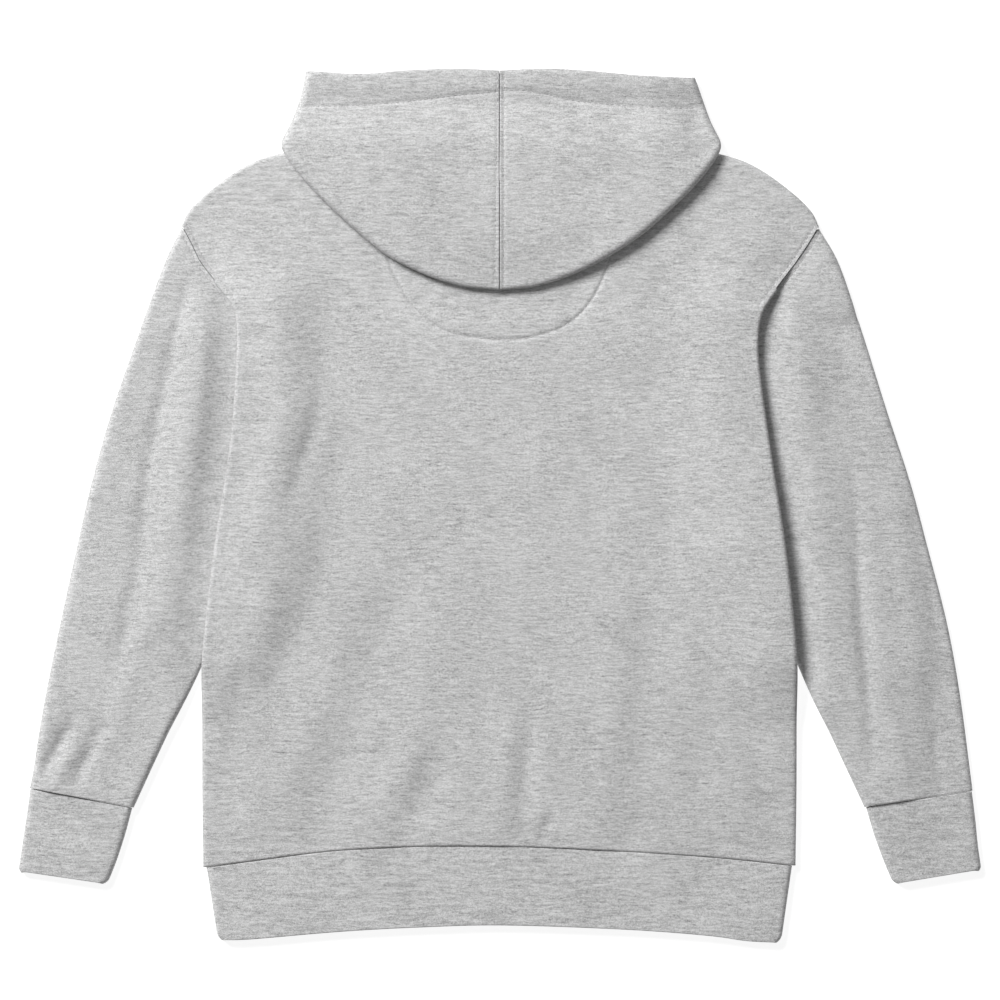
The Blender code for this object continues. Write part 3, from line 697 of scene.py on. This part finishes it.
def bodyPanel(name, mid, seamSide, extraDrop, lines):
    middleColumns, middleRows = body[name + "Cells"]
    rightShoulder = mirrored(shoulderLeft)
    shoulderShare = body["shoulderShare"]
    neckHalf = abs(shoulderLeft[-1].x)
    width, height = body["panelWidth"], body["panelHeight"]
    neckInner, neckRun = body["neckBlend"]
    seamMargin, seamFade = body["seamBlend"]

    def neckTurn(u):
        return math.pi * (u - shoulderShare) / (1 - 2 * shoulderShare)

    def top(u):
        if u < shoulderShare:
            return along(shoulderLeft, u / shoulderShare)
        if u > 1 - shoulderShare:
            return along(rightShoulder, (1 - u) / shoulderShare)
        drop = body["backNeckDrop"] * math.sin(neckTurn(u))
        return -neckHalf * math.cos(neckTurn(u)), shoulderLeft[-1].y - drop

    def neckDip(u, v):
        # the deeper neckline of the front fades out below the neck
        if not shoulderShare < u < 1 - shoulderShare:
            return 0.0
        return extraDrop * math.sin(neckTurn(u)) * max(1 - v / body["neckFade"], 0.0) ** 2

    rolled = [rollAt(angle) for angle in body["rollAngles"]]
    flat = stops(width - 2 * rolled[-1][0], body["fineEdge"], body["fineSteps"], middleColumns)[1:-1]
    across = [(inset / width, share) for inset, share in rolled]
    across += [((rolled[-1][0] + d) / width, 1.0) for d in flat]
    across += [(1 - inset / width, share) for inset, share in reversed(rolled)]
    lastRow = height - cloth["seamGap"] / 2
    flat = stops(lastRow - rolled[-1][0], body["fineEdge"], body["fineSteps"], middleRows)[1:]
    down = [(inset / height, share) for inset, share in rolled]
    down += [((rolled[-1][0] + d) / height, 1.0) for d in flat]

    def place(i, j):
        u, columnShare = across[i]
        v, rowShare = down[len(down) - 1 - j]
        edge = bodyLeft if u < 0.5 else bodyRight
        folded = clamp(smoothColumn(edge, v, "rolled"), 0.0, 1.0)
        fromSide = min(u, 1 - u)
        inNeck = ease((fromSide - shoulderShare + neckInner) / neckRun)
        atSleeve = 1 - ease(fromSide / body["sleeveBlend"])
        sideShare = blendOf(1.0, columnShare, folded)
        topShare = blendOf(rowShare, 1.0, max(inNeck, atSleeve))
        # a seamed edge reaches nearer to its seam line than a folded one
        outward = (1 - folded) * (cloth["wall"] - cloth["seamGap"]) / 2 / width
        outward *= body[name + "Seam"] * (1 - ease((fromSide * width - seamMargin) / seamFade))
        u += math.copysign(1, u - 0.5) * outward
        x, y = coons(top, lambda t: along(waistSeam, t), lambda t: along(bodyLeft, t),
                     lambda t: along(bodyRight, t), u, v)
        y -= neckDip(u, v)
        low, high = frontMid(x, y), backMid(x, y)
        seam = (low + high) / 2 + seamSide * cloth["seamGap"] / 2
        return x, y, blendOf(seam, mid(x, y), sideShare * topShare)

    shape = bmesh.new()
    clothGrid(shape, len(across) - 1, len(down) - 1, place)
    mergeDoubles(shape)
    pressLines(shape, lines, lambda x, y, z: True)
    return finishPiece(name, shape, fleeceFinish, name, cloth["wall"])


def armhole(rows, distance):
    return aside(smoothRoute(rows, seams["armholeFrom"], seams["armholeTo"]), distance)


neckDiffers = body["frontNeckDrop"] - body["backNeckDrop"]
halfMoon = smoothRoute(seams["halfMoon"], count=60)
backArmholes = armhole(bodyLeft, seams["asideArmhole"]), armhole(bodyRight, -seams["asideArmhole"])
hiddenLines = [pressed(route, *seams["pressHidden"]) for route in backArmholes]
frontPanel = bodyPanel("front", frontMid, -1, neckDiffers, hiddenLines)
backPanel = bodyPanel("back", backMid, 1, 0.0, [
    pressed(halfMoon, *seams["pressHalfMoon"]),
    pressed(backArmholes[0], *seams["pressArmholeLeft"]),
    pressed(backArmholes[1], *seams["pressArmholeRight"]),
])
stitchRow("stitchesHalfMoon", backPanel, halfMoon)
for end, route in zip(("Left", "Right"), backArmholes):
    stitchRow("stitchesBack" + end, backPanel, route)
for end, route in zip(("Left", "Right"), backArmholes):
    stitchRow("stitchesFront" + end, frontPanel, route, False)
print("body: front and back panels laid on each other")


# Sleeves, cuffs and waistband: flattened tubes.

tubes = {
    "sleeveLoft": 3.2,
    "sleeveWaves": [(40.0, 0.5, 9.0), (15.0, 0.15, 2.0)],
    "bandLoft": 1.2,
    "cuffWaves": [(22.0, 0.3, 5.0)],
    "bandWaves": [(40.0, 0.4, 7.0)],
    "roundSteps": 8,
    "sleeveAcross": 44,
    "cuffAcross": 30,
    "bandAcross": 120,
    "sleeveCells": (8.0, 10, 150),  # close rows within this of both ends, how many, and rows between
    "cuffCells": (4.0, 6, 22),
    "bandCells": (4.0, 6, 20),
    "mostHollow": 1.4,
    "hollowSteps": 4,  # hollows fade out over so many columns at both edges
    "topLayer": 1.6,  # what lies this far above the middle of the lowest wall is the upper layer
    "lowLayer": 0.8,
    "armholeGap": 0.35,
    "armholeFrom": (100.0, 16.0),  # the sleeve takes the body's height above this, over such a run
    "seamFrom": (108.0, 8.0),  # above this its end follows the body's edge
    "besideLoft": 0.6,  # the air in a sleeve that the body holds down
    "besideTop": 110.0,
    "sleeveLength": 383.0,
    "cuffLength": 47.0,
    "bandLength": 45.0,
    "bandPinch": 2.0,
    "bluntTip": 0.14,
    "outerCorner": 2.4,
    "innerCorner": 4.6,
    "bandCorner": 5.0,
    "leftCreases": [
        crease([(-180, 130), (-190, 92), (-203, 24), (-208, -12)], 4, -1.6),
        crease([(-203, 4), (-213, -58), (-226, -112)], 6, -1.5),
        crease([(-170, 122), (-177, 62), (-186, 0), (-196, -64)], 10, 3.2),
        crease([(-206, -70), (-216, -100), (-226, -132)], 9, 1.0),
        crease([(-246, -122), (-256, -140), (-269, -161)], 4.5, -2.6),
        crease([(-230, -128), (-238, -142), (-245, -158)], 4.5, -2.2),
        crease([(-247, -140), (-252, -150), (-257, -160)], 4, 1.0),
    ],
    "rightCreases": [
        crease([(205, 20), (209, -50), (214, -110), (216, -150)], 4.6, -2.2),
        crease([(170, 122), (180, 50), (192, -70)], 9, 1.6),
        crease([(222, 60), (232, -20), (240, -90)], 15, 1.6),
        crease([(228, 20), (241, -60), (250, -136)], 9, 1.7),
        crease([(246, -96), (254, -130), (262, -158)], 7, -1.6),
        crease([(228, -120), (233, -140), (236, -158)], 5, 0.9),
    ],
    "underCreases": [  # hollows of the hidden side, for the left sleeve; the right has them mirrored
        crease([(-176, 112), (-190, 50), (-204, -10)], 9, 1.1),
        crease([(-206, 30), (-218, -40), (-232, -104)], 10, 1.3),
        crease([(-216, -92), (-226, -124), (-232, -156)], 6, 1.1),
        crease([(-240, -98), (-252, -128), (-260, -158)], 7, 1.2),
    ],
    "underShift": 6.0,
    "besideLeft": (21.0, 22.0),  # where the sleeve starts to sink towards the body's edge, over what run
    "besideRight": (20.0, 16.0),
    "outerFall": (3.6, 44.0),  # how far the right sleeve sinks towards its outer edge
}


def tubeEdges(rows, t):
    outer = smoothColumn(rows, t, "outerX"), smoothColumn(rows, t, "outerY")
    return outer, (smoothColumn(rows, t, "innerX"), smoothColumn(rows, t, "innerY"))


def flattenedTube(name, lengthSteps, section, topSteps, wall, lines=(), under=()):
    # section(t) gives outer and inner edge, a path in plan, the low height and the high one
    roundSteps = tubes["roundSteps"]
    half = topSteps + roundSteps

    def ringPoint(i, t):
        outer, inner, path, low, high = section(t)
        run = (inner[0] - outer[0], inner[1] - outer[1])
        length = math.hypot(*run)

        def at(share):
            return path(share, outer[0] + run[0] * share, outer[1] + run[1] * share)

        ends = [(wall / 2 + (high(*at(share)) - low) / 2) / length for share in (0.0, 1.0)]
        i = i % (2 * half)
        if i <= topSteps or half <= i <= half + topSteps:
            step = i if i <= topSteps else half + topSteps - i
            share = blendOf(ends[0], 1 - ends[1], step / topSteps)
            x, y = at(share)
            if i <= topSteps:
                return x, y, high(x, y)
            inMiddle = ease(min(step, topSteps - step) / tubes["hollowSteps"])
            hollow = clamp(creaseHeight(under, x, y), 0.0, tubes["mostHollow"])
            return x, y, low + hollow * inMiddle
        atInner = i < half
        step = i - topSteps if atInner else 2 * half - i
        share = 1 - ends[1] if atInner else ends[0]
        radius = (high(*at(share)) - low) / 2
        angle = math.pi * step / roundSteps
        out = radius * math.sin(angle) / length
        x, y = at(share + out if atInner else share - out)
        return x, y, low + radius * (1 + math.cos(angle))

    shape = bmesh.new()
    clothGrid(shape, 2 * half, len(lengthSteps) - 1, lambda i, j: ringPoint(i, lengthSteps[j]))
    mergeDoubles(shape)
    pressLines(shape, lines, lambda x, y, z: z > floorMid + tubes["topLayer"])
    hidden = [pressed(line.route, *seams["pressHidden"]) for line in lines]
    pressLines(shape, hidden, lambda x, y, z: z < floorMid + tubes["lowLayer"])
    return finishPiece(name, shape, fleeceFinish, name, wall)


def sleeveTube(name, rows, creases, bodyEdge):
    side = -1 if rows[0].outerX < 0 else 1
    end = "Left" if side < 0 else "Right"
    start, run = tubes["beside" + end]
    armholeY, armholeRun = tubes["armholeFrom"]
    seamY, seamRun = tubes["seamFrom"]
    fall, reach = tubes["outerFall"]

    def high(x, y):
        bodyX = abs(atHeight(bodyEdge, y, "x"))
        rolled = atHeight(bodyEdge, min(y, tubes["besideTop"]), "rolled")
        held = ease((bodyX + start - abs(x)) / run) * max(rolled, atHeight(bodyEdge, y, "lift"))
        atArmhole = ease((y - armholeY) / armholeRun)
        outerX = abs(atHeight([spot(abs(row.outerX), row.outerY) for row in rows], y, "x"))
        sinking = fall * (1 - ease((outerX - abs(x)) / reach)) if side > 0 else 0.0
        loft = blendOf(tubes["sleeveLoft"], body["loft"], atArmhole)
        loft += creaseHeight(creases, x, y) - sinking * (1 - atArmhole)
        loft += waver(x, y, tubes["sleeveWaves"])
        loft = clamp(loft, cloth["leastLoft"], cloth["mostLoft"])
        return floorMid + cloth["wall"] + blendOf(loft, tubes["besideLoft"], held)

    def section(t):
        outer, inner = tubeEdges(rows, t)
        atSeam = clamp(smoothColumn(rows, t, "atSeam"), 0.0, 1.0)

        def alongArmhole(share, x, y):
            firstX = blendOf(rows[0].outerX, rows[0].innerX, share)
            firstY = blendOf(rows[0].outerY, rows[0].innerY, share)
            seamX = edgeAt(bodyEdge, firstY) + side * tubes["armholeGap"]
            return x + (seamX - firstX) * atSeam * ease((firstY - seamY) / seamRun), y

        return outer, inner, alongArmhole, floorMid, high

    lengthSteps = sharesAlong(tubes["sleeveLength"], *tubes["sleeveCells"])
    stitched = armhole(bodyEdge, side * seams["asideArmhole"])
    lines = [pressed(stitched, *seams["pressArmhole" + end])]
    under = tubes["underCreases"]
    if side > 0:
        shift = tubes["underShift"]
        under = [crease([(-x, y + shift) for x, y in one.route], one.width, one.height) for one in under]
    wide = tubes["sleeveAcross"]
    piece = flattenedTube(name, lengthSteps, section, wide, cloth["wall"], lines, under)
    stitchRow("stitchesSleeve" + end, piece, stitched)
    stitchRow("stitchesSleeveUnder" + end, piece, stitched, False)


def cornerInset(fromEnd, radius):
    # how far a rounded corner draws an edge in, at a distance from the end; the very tip stays blunt
    fromEnd = max(fromEnd, tubes["bluntTip"] * radius)
    return radius - math.sqrt(max(radius**2 - max(radius - fromEnd, 0.0) ** 2, 0.0))


def drawnIn(start, end, amount):
    share = amount / math.dist(start, end)
    return tuple(blendOf(start[axis], end[axis], share) for axis in (0, 1))


def cuffTube(name, rows):
    low = cloth["bandWall"] / 2

    def high(x, y):
        return low + cloth["bandWall"] + tubes["bandLoft"] + waver(x, y, tubes["cuffWaves"])

    def section(t):
        outer, inner = tubeEdges(rows, t)
        fromEnd = (1 - t) * tubes["cuffLength"]
        outer, inner = (
            drawnIn(outer, inner, cornerInset(fromEnd, tubes["outerCorner"])),
            drawnIn(inner, outer, cornerInset(fromEnd, tubes["innerCorner"])),
        )
        return outer, inner, lambda share, x, y: (x, y), low, high

    lengthSteps = sharesAlong(tubes["cuffLength"], *tubes["cuffCells"])
    piece = flattenedTube(name, lengthSteps, section, tubes["cuffAcross"], cloth["bandWall"])


def waistBand(name):
    low = cloth["bandWall"] / 2
    pinch = 1 - tubes["bandPinch"] / abs(waistSeam[0].x)

    def high(x, y):
        return low + cloth["bandWall"] + tubes["bandLoft"] + waver(x, y, tubes["bandWaves"])

    def section(t):
        def path(share, x, y):
            upper, lower = along(waistSeam, share), along(bandEdge, share)
            top = upper[1] - cloth["seamGap"]
            inset = cornerInset((1 - t) * tubes["bandLength"], tubes["bandCorner"])
            drawn = 1 - inset / abs(bandEdge[0].x)
            return blendOf(upper[0] * pinch, lower[0], t) * drawn, blendOf(top, lower[1], t)

        return path(0.0, 0, 0), path(1.0, 0, 0), path, low, high

    lengthSteps = sharesAlong(tubes["bandLength"], *tubes["bandCells"])
    piece = flattenedTube(name, lengthSteps, section, tubes["bandAcross"], cloth["bandWall"])


sleeveTube("sleeve_left", sleeveLeft, tubes["leftCreases"], bodyLeft)
sleeveTube("sleeve_right", sleeveRight, tubes["rightCreases"], bodyRight)
cuffTube("cuff_left", cuffLeft)
cuffTube("cuff_right", cuffRight)
waistBand("waistband")
print("sleeves, cuffs and waistband")


# Hood: two halves, each a layer that shows, rolled round its outline into the layer beneath.

hood = {
    "gap": 0.6,
    "middleGap": 0.3,
    "loft": 3.2,
    "puff": 3.2,  # more air under the part that lies beyond the shoulders
    "neckHalf": 58.0,
    "frontDrop": 34.0,
    "frontSag": 8.0,
    "columns": 72,
    "rows": 64,
    "rollSteps": 10,
    "underSteps": 22,
    "cornerPasses": 24,
    "cornerReach": 9,  # how many points on each side of the corner are rounded
    "restTop": 200.0,  # further up the hood rests on the shoulders as it does here
    "sideEnd": 203.0,
    "offShoulder": (7.0, 6.0),  # past the shoulder the hidden layer sinks to the floor, over such a run
    "onFloor": (206.0, 34.0),  # the same for the layer that shows
    "waves": [(34.0, 0.5, 3.0)],
    "topLayer": 1.2,  # what lies no further below its height belongs to the layer that shows
    "faceLeft": table(spot, [  # the face opening, from the middle to the corner
        (-0.5, 252.5), (-23.0, 253.5), (-57.5, 252.5), (-86.5, 250.5), (-112.0, 252.0),
    ]),
    "faceRight": table(spot, [
        (0.5, 252.5), (23.5, 253.5), (58.5, 252.0), (87.5, 249.5), (113.5, 248.5),
    ]),
    "sideLeft": table(spot, [
        (-112.0, 252.0), (-115.5, 237.0), (-120.5, 223.5), (-126.0, 211.5), (-125.0, 203.0),
    ]),
    "sideRight": table(spot, [
        (113.5, 248.5), (118.0, 236.0), (122.5, 223.5), (128.0, 211.5), (127.5, 203.0),
    ]),
    "foldLeft": table(spot, [
        (-125.0, 203.0), (-113.0, 189.0), (-99.0, 174.5), (-78.5, 156.0), (-62.0, 143.5),
        (-39.5, 133.0), (-20.0, 127.5), (-0.5, 125.5),
    ]),
    "foldRight": table(spot, [
        (127.5, 203.0), (116.0, 189.0), (104.0, 176.5), (82.0, 157.0), (60.0, 143.0), (40.0, 133.5),
        (20.0, 127.5), (0.5, 125.5),
    ]),
    "frontEdge": table(spot, [  # the face opening under the garment, corner to centre front
        (-112.0, 252.0), (-90.0, 247.5), (-66.0, 239.0), (-36.0, 221.0), (-0.5, 175.0),
    ]),
    "creases": [
        crease([(-104, 240), (-98, 220), (-96, 200)], 7, -0.7),
        crease([(-84, 244), (-76, 214), (-70, 186)], 17, 0.9),
        crease([(84, 244), (88, 214), (92, 196)], 9, 1.3),
        crease([(40, 220), (48, 190), (50, 160)], 14, -0.8),
        crease([(118, 238), (112, 222), (112, 208)], 6, -1.0),
    ],
    "foldFall": (3.0, 34.0, 84.0),  # how far the middle of the fold sinks, over what reach, how wide
    "hemRise": (2.2, 231.0, 15.0),  # the strip beyond the hem's stitches: how much, from where, what run
    "sideFallLeft": (0.3, 12.0),  # how far each half sinks towards its side edge, and over what reach
    "sideFallRight": (3.2, 24.0),
    "sideMargin": 3.0,
    "sideFrom": (196.0, 14.0),  # it fades in from here up
    "shoulderBow": 1.0,
}


def hoodHalf(name, side, end):
    face, sideEdge, foldEdge = hood["face" + end], hood["side" + end], hood["fold" + end]
    columns, rows = hood["columns"], hood["rows"]
    frontEdge = hood["frontEdge"] if side < 0 else mirrored(hood["frontEdge"])
    neckY = shoulderLeft[-1].y
    radius = (hood["loft"] + cloth["wall"]) / 2
    inset = cloth["wall"] / 2 + radius
    centreX = side * hood["middleGap"] / 2

    def shoulderY(x):
        rowsUp = sorted(shoulderLeft, key=lambda point: -point.x)
        for near, far in zip(rowsUp, rowsUp[1:]):
            if -abs(x) >= far.x:
                return blendOf(near.y, far.y, clamp((near.x + abs(x)) / (near.x - far.x), 0.0, 1.0))
        return shoulderLeft[0].y

    def underMid(x, y, offShoulder):
        resting = backMid(x, min(y, hood["restTop"])) + cloth["wall"] + hood["gap"]
        margin, run = hood["offShoulder"]
        return blendOf(resting, floorMid, ease((offShoulder - margin) / run))

    def foldHeight(x):
        for near, far in zip(foldEdge[::-1], foldEdge[-2::-1]):
            if abs(x) <= abs(far.x):
                share = clamp((abs(x) - abs(near.x)) / (abs(far.x) - abs(near.x)), 0, 1)
                return blendOf(near.y, far.y, share)
        return foldEdge[0].y

    def topMid(x, y):
        resting = backMid(x, min(y, hood["restTop"])) + 2 * cloth["wall"] + hood["gap"] + hood["loft"]
        onFloor = floorMid + cloth["wall"] + hood["loft"] + hood["puff"]
        shape = creaseHeight(hood["creases"], x, y) + waver(x, y, hood["waves"])
        fall, reach = hood["sideFall" + end]
        start, run = hood["sideFrom"]
        fromEdge = abs(edgeAt(sideEdge, max(y, hood["sideEnd"]))) - abs(x) - hood["sideMargin"]
        shape -= fall * (1 - ease(fromEdge / reach)) * ease((y - start) / run)
        fall, reach, wide = hood["foldFall"]
        shape -= fall * (1 - ease((y - foldHeight(x)) / reach)) * (1 - ease(abs(x) / wide))
        rise, start, run = hood["hemRise"]
        shape += rise * ease((y - start) / run)
        start, run = hood["onFloor"]
        return blendOf(resting, onFloor, ease((y - start) / run)) + shape

    outline = [along(sideEdge, i / rows) for i in range(rows + 1)]
    outline += [along(foldEdge, i / columns) for i in range(1, columns + 1)]
    normals = []
    for i in range(len(outline)):
        before, after = outline[max(i - 1, 0)], outline[min(i + 1, len(outline) - 1)]
        run = (after[0] - before[0], after[1] - before[1])
        length = math.hypot(*run)
        normals.append((side * run[1] / length, -side * run[0] / length))
    normals[-1] = (0.0, 1.0)
    normals[0] = (-side, 0.0)
    inner = [(p[0] + n[0] * inset, p[1] + n[1] * inset) for p, n in zip(outline, normals)]
    inner[-1] = (centreX, inner[-1][1])
    for _ in range(hood["cornerPasses"]):
        # rounds the corner between the side and the fold, where the inset would double back
        for k in range(rows - hood["cornerReach"], rows + hood["cornerReach"] + 1):
            before, after = inner[k - 1], inner[k + 1]
            inner[k] = ((before[0] + after[0]) / 2, (before[1] + after[1]) / 2)
    corner = inner[0]
    sideInner = [spot(*p) for p in inner[: rows + 1]]
    foldInner = [spot(*p) for p in inner[rows:]]
    lift = corner[1] - face[-1].y

    def facePoint(u):
        x, y = along(face, u)
        return blendOf(centreX, corner[0], u), y + lift * u

    def topPoint(i, j):
        # i counts out from the centre seam, j down from the face opening
        u, v = i / columns, j / rows
        x, y = coons(facePoint, lambda t: along(foldInner, 1 - t),
                     lambda t: (centreX, blendOf(face[0].y, inner[-1][1], t)),
                     lambda t: along(sideInner, t), u, v)
        return x, y, topMid(x, y)

    def frontNeck(v):
        drop = hood["frontDrop"] * (1 - v) + hood["frontSag"] * 4 * v * (1 - v)
        return blendOf(centreX, side * hood["neckHalf"], v), neckY - drop

    def backNeck(v):
        turn = math.pi / 2 * v
        x = blendOf(centreX, side * hood["neckHalf"], math.cos(turn))
        return x, neckY - body["backNeckDrop"] * math.sin(turn)

    def shoulderLine(u):
        begin, last = inner[rows], backNeck(0.0)
        x = blendOf(begin[0], last[0], u)
        bowed = shoulderY(x) + hood["shoulderBow"]
        return x, blendOf(blendOf(begin[1], last[1], u), bowed, 4 * u * (1 - u))

    frontCurve = [spot(*corner)] + frontEdge[1:-1] + [spot(*frontNeck(0.0))]

    def flap(u, v):
        low, high = shoulderLine(u), along(frontCurve, u)
        point = []
        for axis in (0, 1):
            offSide = along(sideInner, v)[axis] - blendOf(sideInner[0][axis], sideInner[-1][axis], v)
            offNeck = frontNeck(v)[axis] - blendOf(frontNeck(0)[axis], frontNeck(1)[axis], v)
            straight = blendOf(high[axis], low[axis], v)
            point.append(straight + (1 - u) ** 2 * offSide + u**4 * offNeck)
        return point

    def offShoulder(k, u, x, y):
        if k >= rows:
            return 0.0
        return math.dist((x, y), shoulderLine(u))

    def ringPoint(k, step):
        # steps go round the fold, then inward over the layer beneath
        x, y = inner[k]
        if step <= hood["rollSteps"]:
            angle = math.pi * step / hood["rollSteps"]
            upper, lower = topMid(x, y), underMid(x, y, offShoulder(k, 0.0, x, y))
            out = radius * math.sin(angle)
            x, y = x - normals[k][0] * out, y - normals[k][1] * out
            if k == len(inner) - 1:
                x = centreX
            return x, y, blendOf(lower, upper, (1 + math.cos(angle)) / 2)
        u = (step - hood["rollSteps"]) / hood["underSteps"]
        if k <= rows:
            x, y = flap(u, k / rows)
        else:
            x, y = coons(shoulderLine, lambda t: (centreX, blendOf(inner[-1][1], backNeck(1.0)[1], t)),
                         lambda t: along(foldInner, t), backNeck, u, (k - rows) / columns)
        if k == len(inner) - 1:
            x = centreX
        return x, y, underMid(x, y, offShoulder(k, u, x, y))

    shape = bmesh.new()
    clothGrid(shape, columns, rows, topPoint)
    clothGrid(shape, rows + columns, hood["rollSteps"] + hood["underSteps"], ringPoint)
    mergeDoubles(shape)
    hem, middle = smoothRoute(seams["hem" + end]), smoothRoute(seams["middle" + end])
    lines = [pressed(hem, *seams["pressHem"]), pressed(middle, *seams["pressMiddle" + end])]
    pressLines(shape, lines, lambda x, y, z: z > topMid(x, y) - hood["topLayer"])
    piece = finishPiece(name, shape, fleeceFinish, name, cloth["wall"])
    stitchRow("stitchesHem" + end, piece, hem)
    stitchRow("stitchesMiddle" + end, piece, middle)


hoodHalf("hood_left", -1, "Left")
hoodHalf("hood_right", 1, "Right")
print("hood: two halves, laid back on the shoulders")


# Floor, lights and camera.

studio = {
    "floor": 3.0,
    "floorGap": 0.0001,  # the floor lies this far below the cloth
    "floorColour": 0.36,
    "floorGlow": 0.84,
    "keyPlace": (-2.05, 2.2, 2.6),
    "keySize": 1.7,
    "keyPower": 208.0,
    "fillPlace": (0.3, 0.2, 2.6),
    "fillSize": 2.6,
    "fillPower": 5.0,
    "world": 0.17,
    "lens": 200.0,
    "sensor": 36.0,
    "clip": (0.05, 20.0),
    "view": 0.580,  # metres across the picture
    "look": (0.00004, 0.00365, 0.004),
}


def studioFloor():
    shape = bmesh.new()
    bmesh.ops.create_grid(shape, x_segments=1, y_segments=1, size=studio["floor"])
    for vert in shape.verts:
        vert.co.z = -studio["floorGap"]
    mesh = bpy.data.meshes.new("floor")
    shape.to_mesh(mesh)
    shape.free()
    floor = bpy.data.objects.new("floor", mesh)
    bpy.context.scene.collection.objects.link(floor)
    material = bpy.data.materials.new("paleFloor")
    material.use_nodes = True
    shader = material.node_tree.nodes["Principled BSDF"]
    shader.inputs["Base Color"].default_value = (*[studio["floorColour"]] * 3, 1.0)
    shader.inputs["Roughness"].default_value = 1.0
    shader.inputs["Specular IOR Level"].default_value = 0.0
    shader.inputs["Emission Color"].default_value = (1, 1, 1, 1)
    shader.inputs["Emission Strength"].default_value = studio["floorGlow"]
    mesh.materials.append(material)


def areaLight(name, place, size, power):
    lamp = bpy.data.lights.new(name, "AREA")
    lamp.shape = "DISK"
    lamp.size = size
    lamp.energy = power
    light = bpy.data.objects.new(name, lamp)
    light.location = place
    light.rotation_euler = (-Vector(place)).to_track_quat("-Z", "Y").to_euler()
    bpy.context.scene.collection.objects.link(light)


def studioCamera():
    lens = bpy.data.cameras.new("camera")
    lens.lens = studio["lens"]
    lens.sensor_width = studio["sensor"]
    lens.clip_start, lens.clip_end = studio["clip"]
    away = studio["view"] * studio["lens"] / studio["sensor"]
    camera = bpy.data.objects.new("camera", lens)
    camera.location = Vector(studio["look"]) + Vector((0, 0, away))
    bpy.context.scene.collection.objects.link(camera)
    bpy.context.scene.camera = camera


def paleWorld():
    world = bpy.data.worlds.new("studio")
    world.use_nodes = True
    background = world.node_tree.nodes["Background"]
    background.inputs["Color"].default_value = (1, 1, 1, 1)
    background.inputs["Strength"].default_value = studio["world"]
    bpy.context.scene.world = world
    bpy.context.scene.view_settings.view_transform = "Standard"


studioFloor()
areaLight("keyLight", studio["keyPlace"], studio["keySize"], studio["keyPower"])
areaLight("fillLight", studio["fillPlace"], studio["fillSize"], studio["fillPower"])
studioCamera()
paleWorld()
print("studio: floor, two lights, camera straight above")
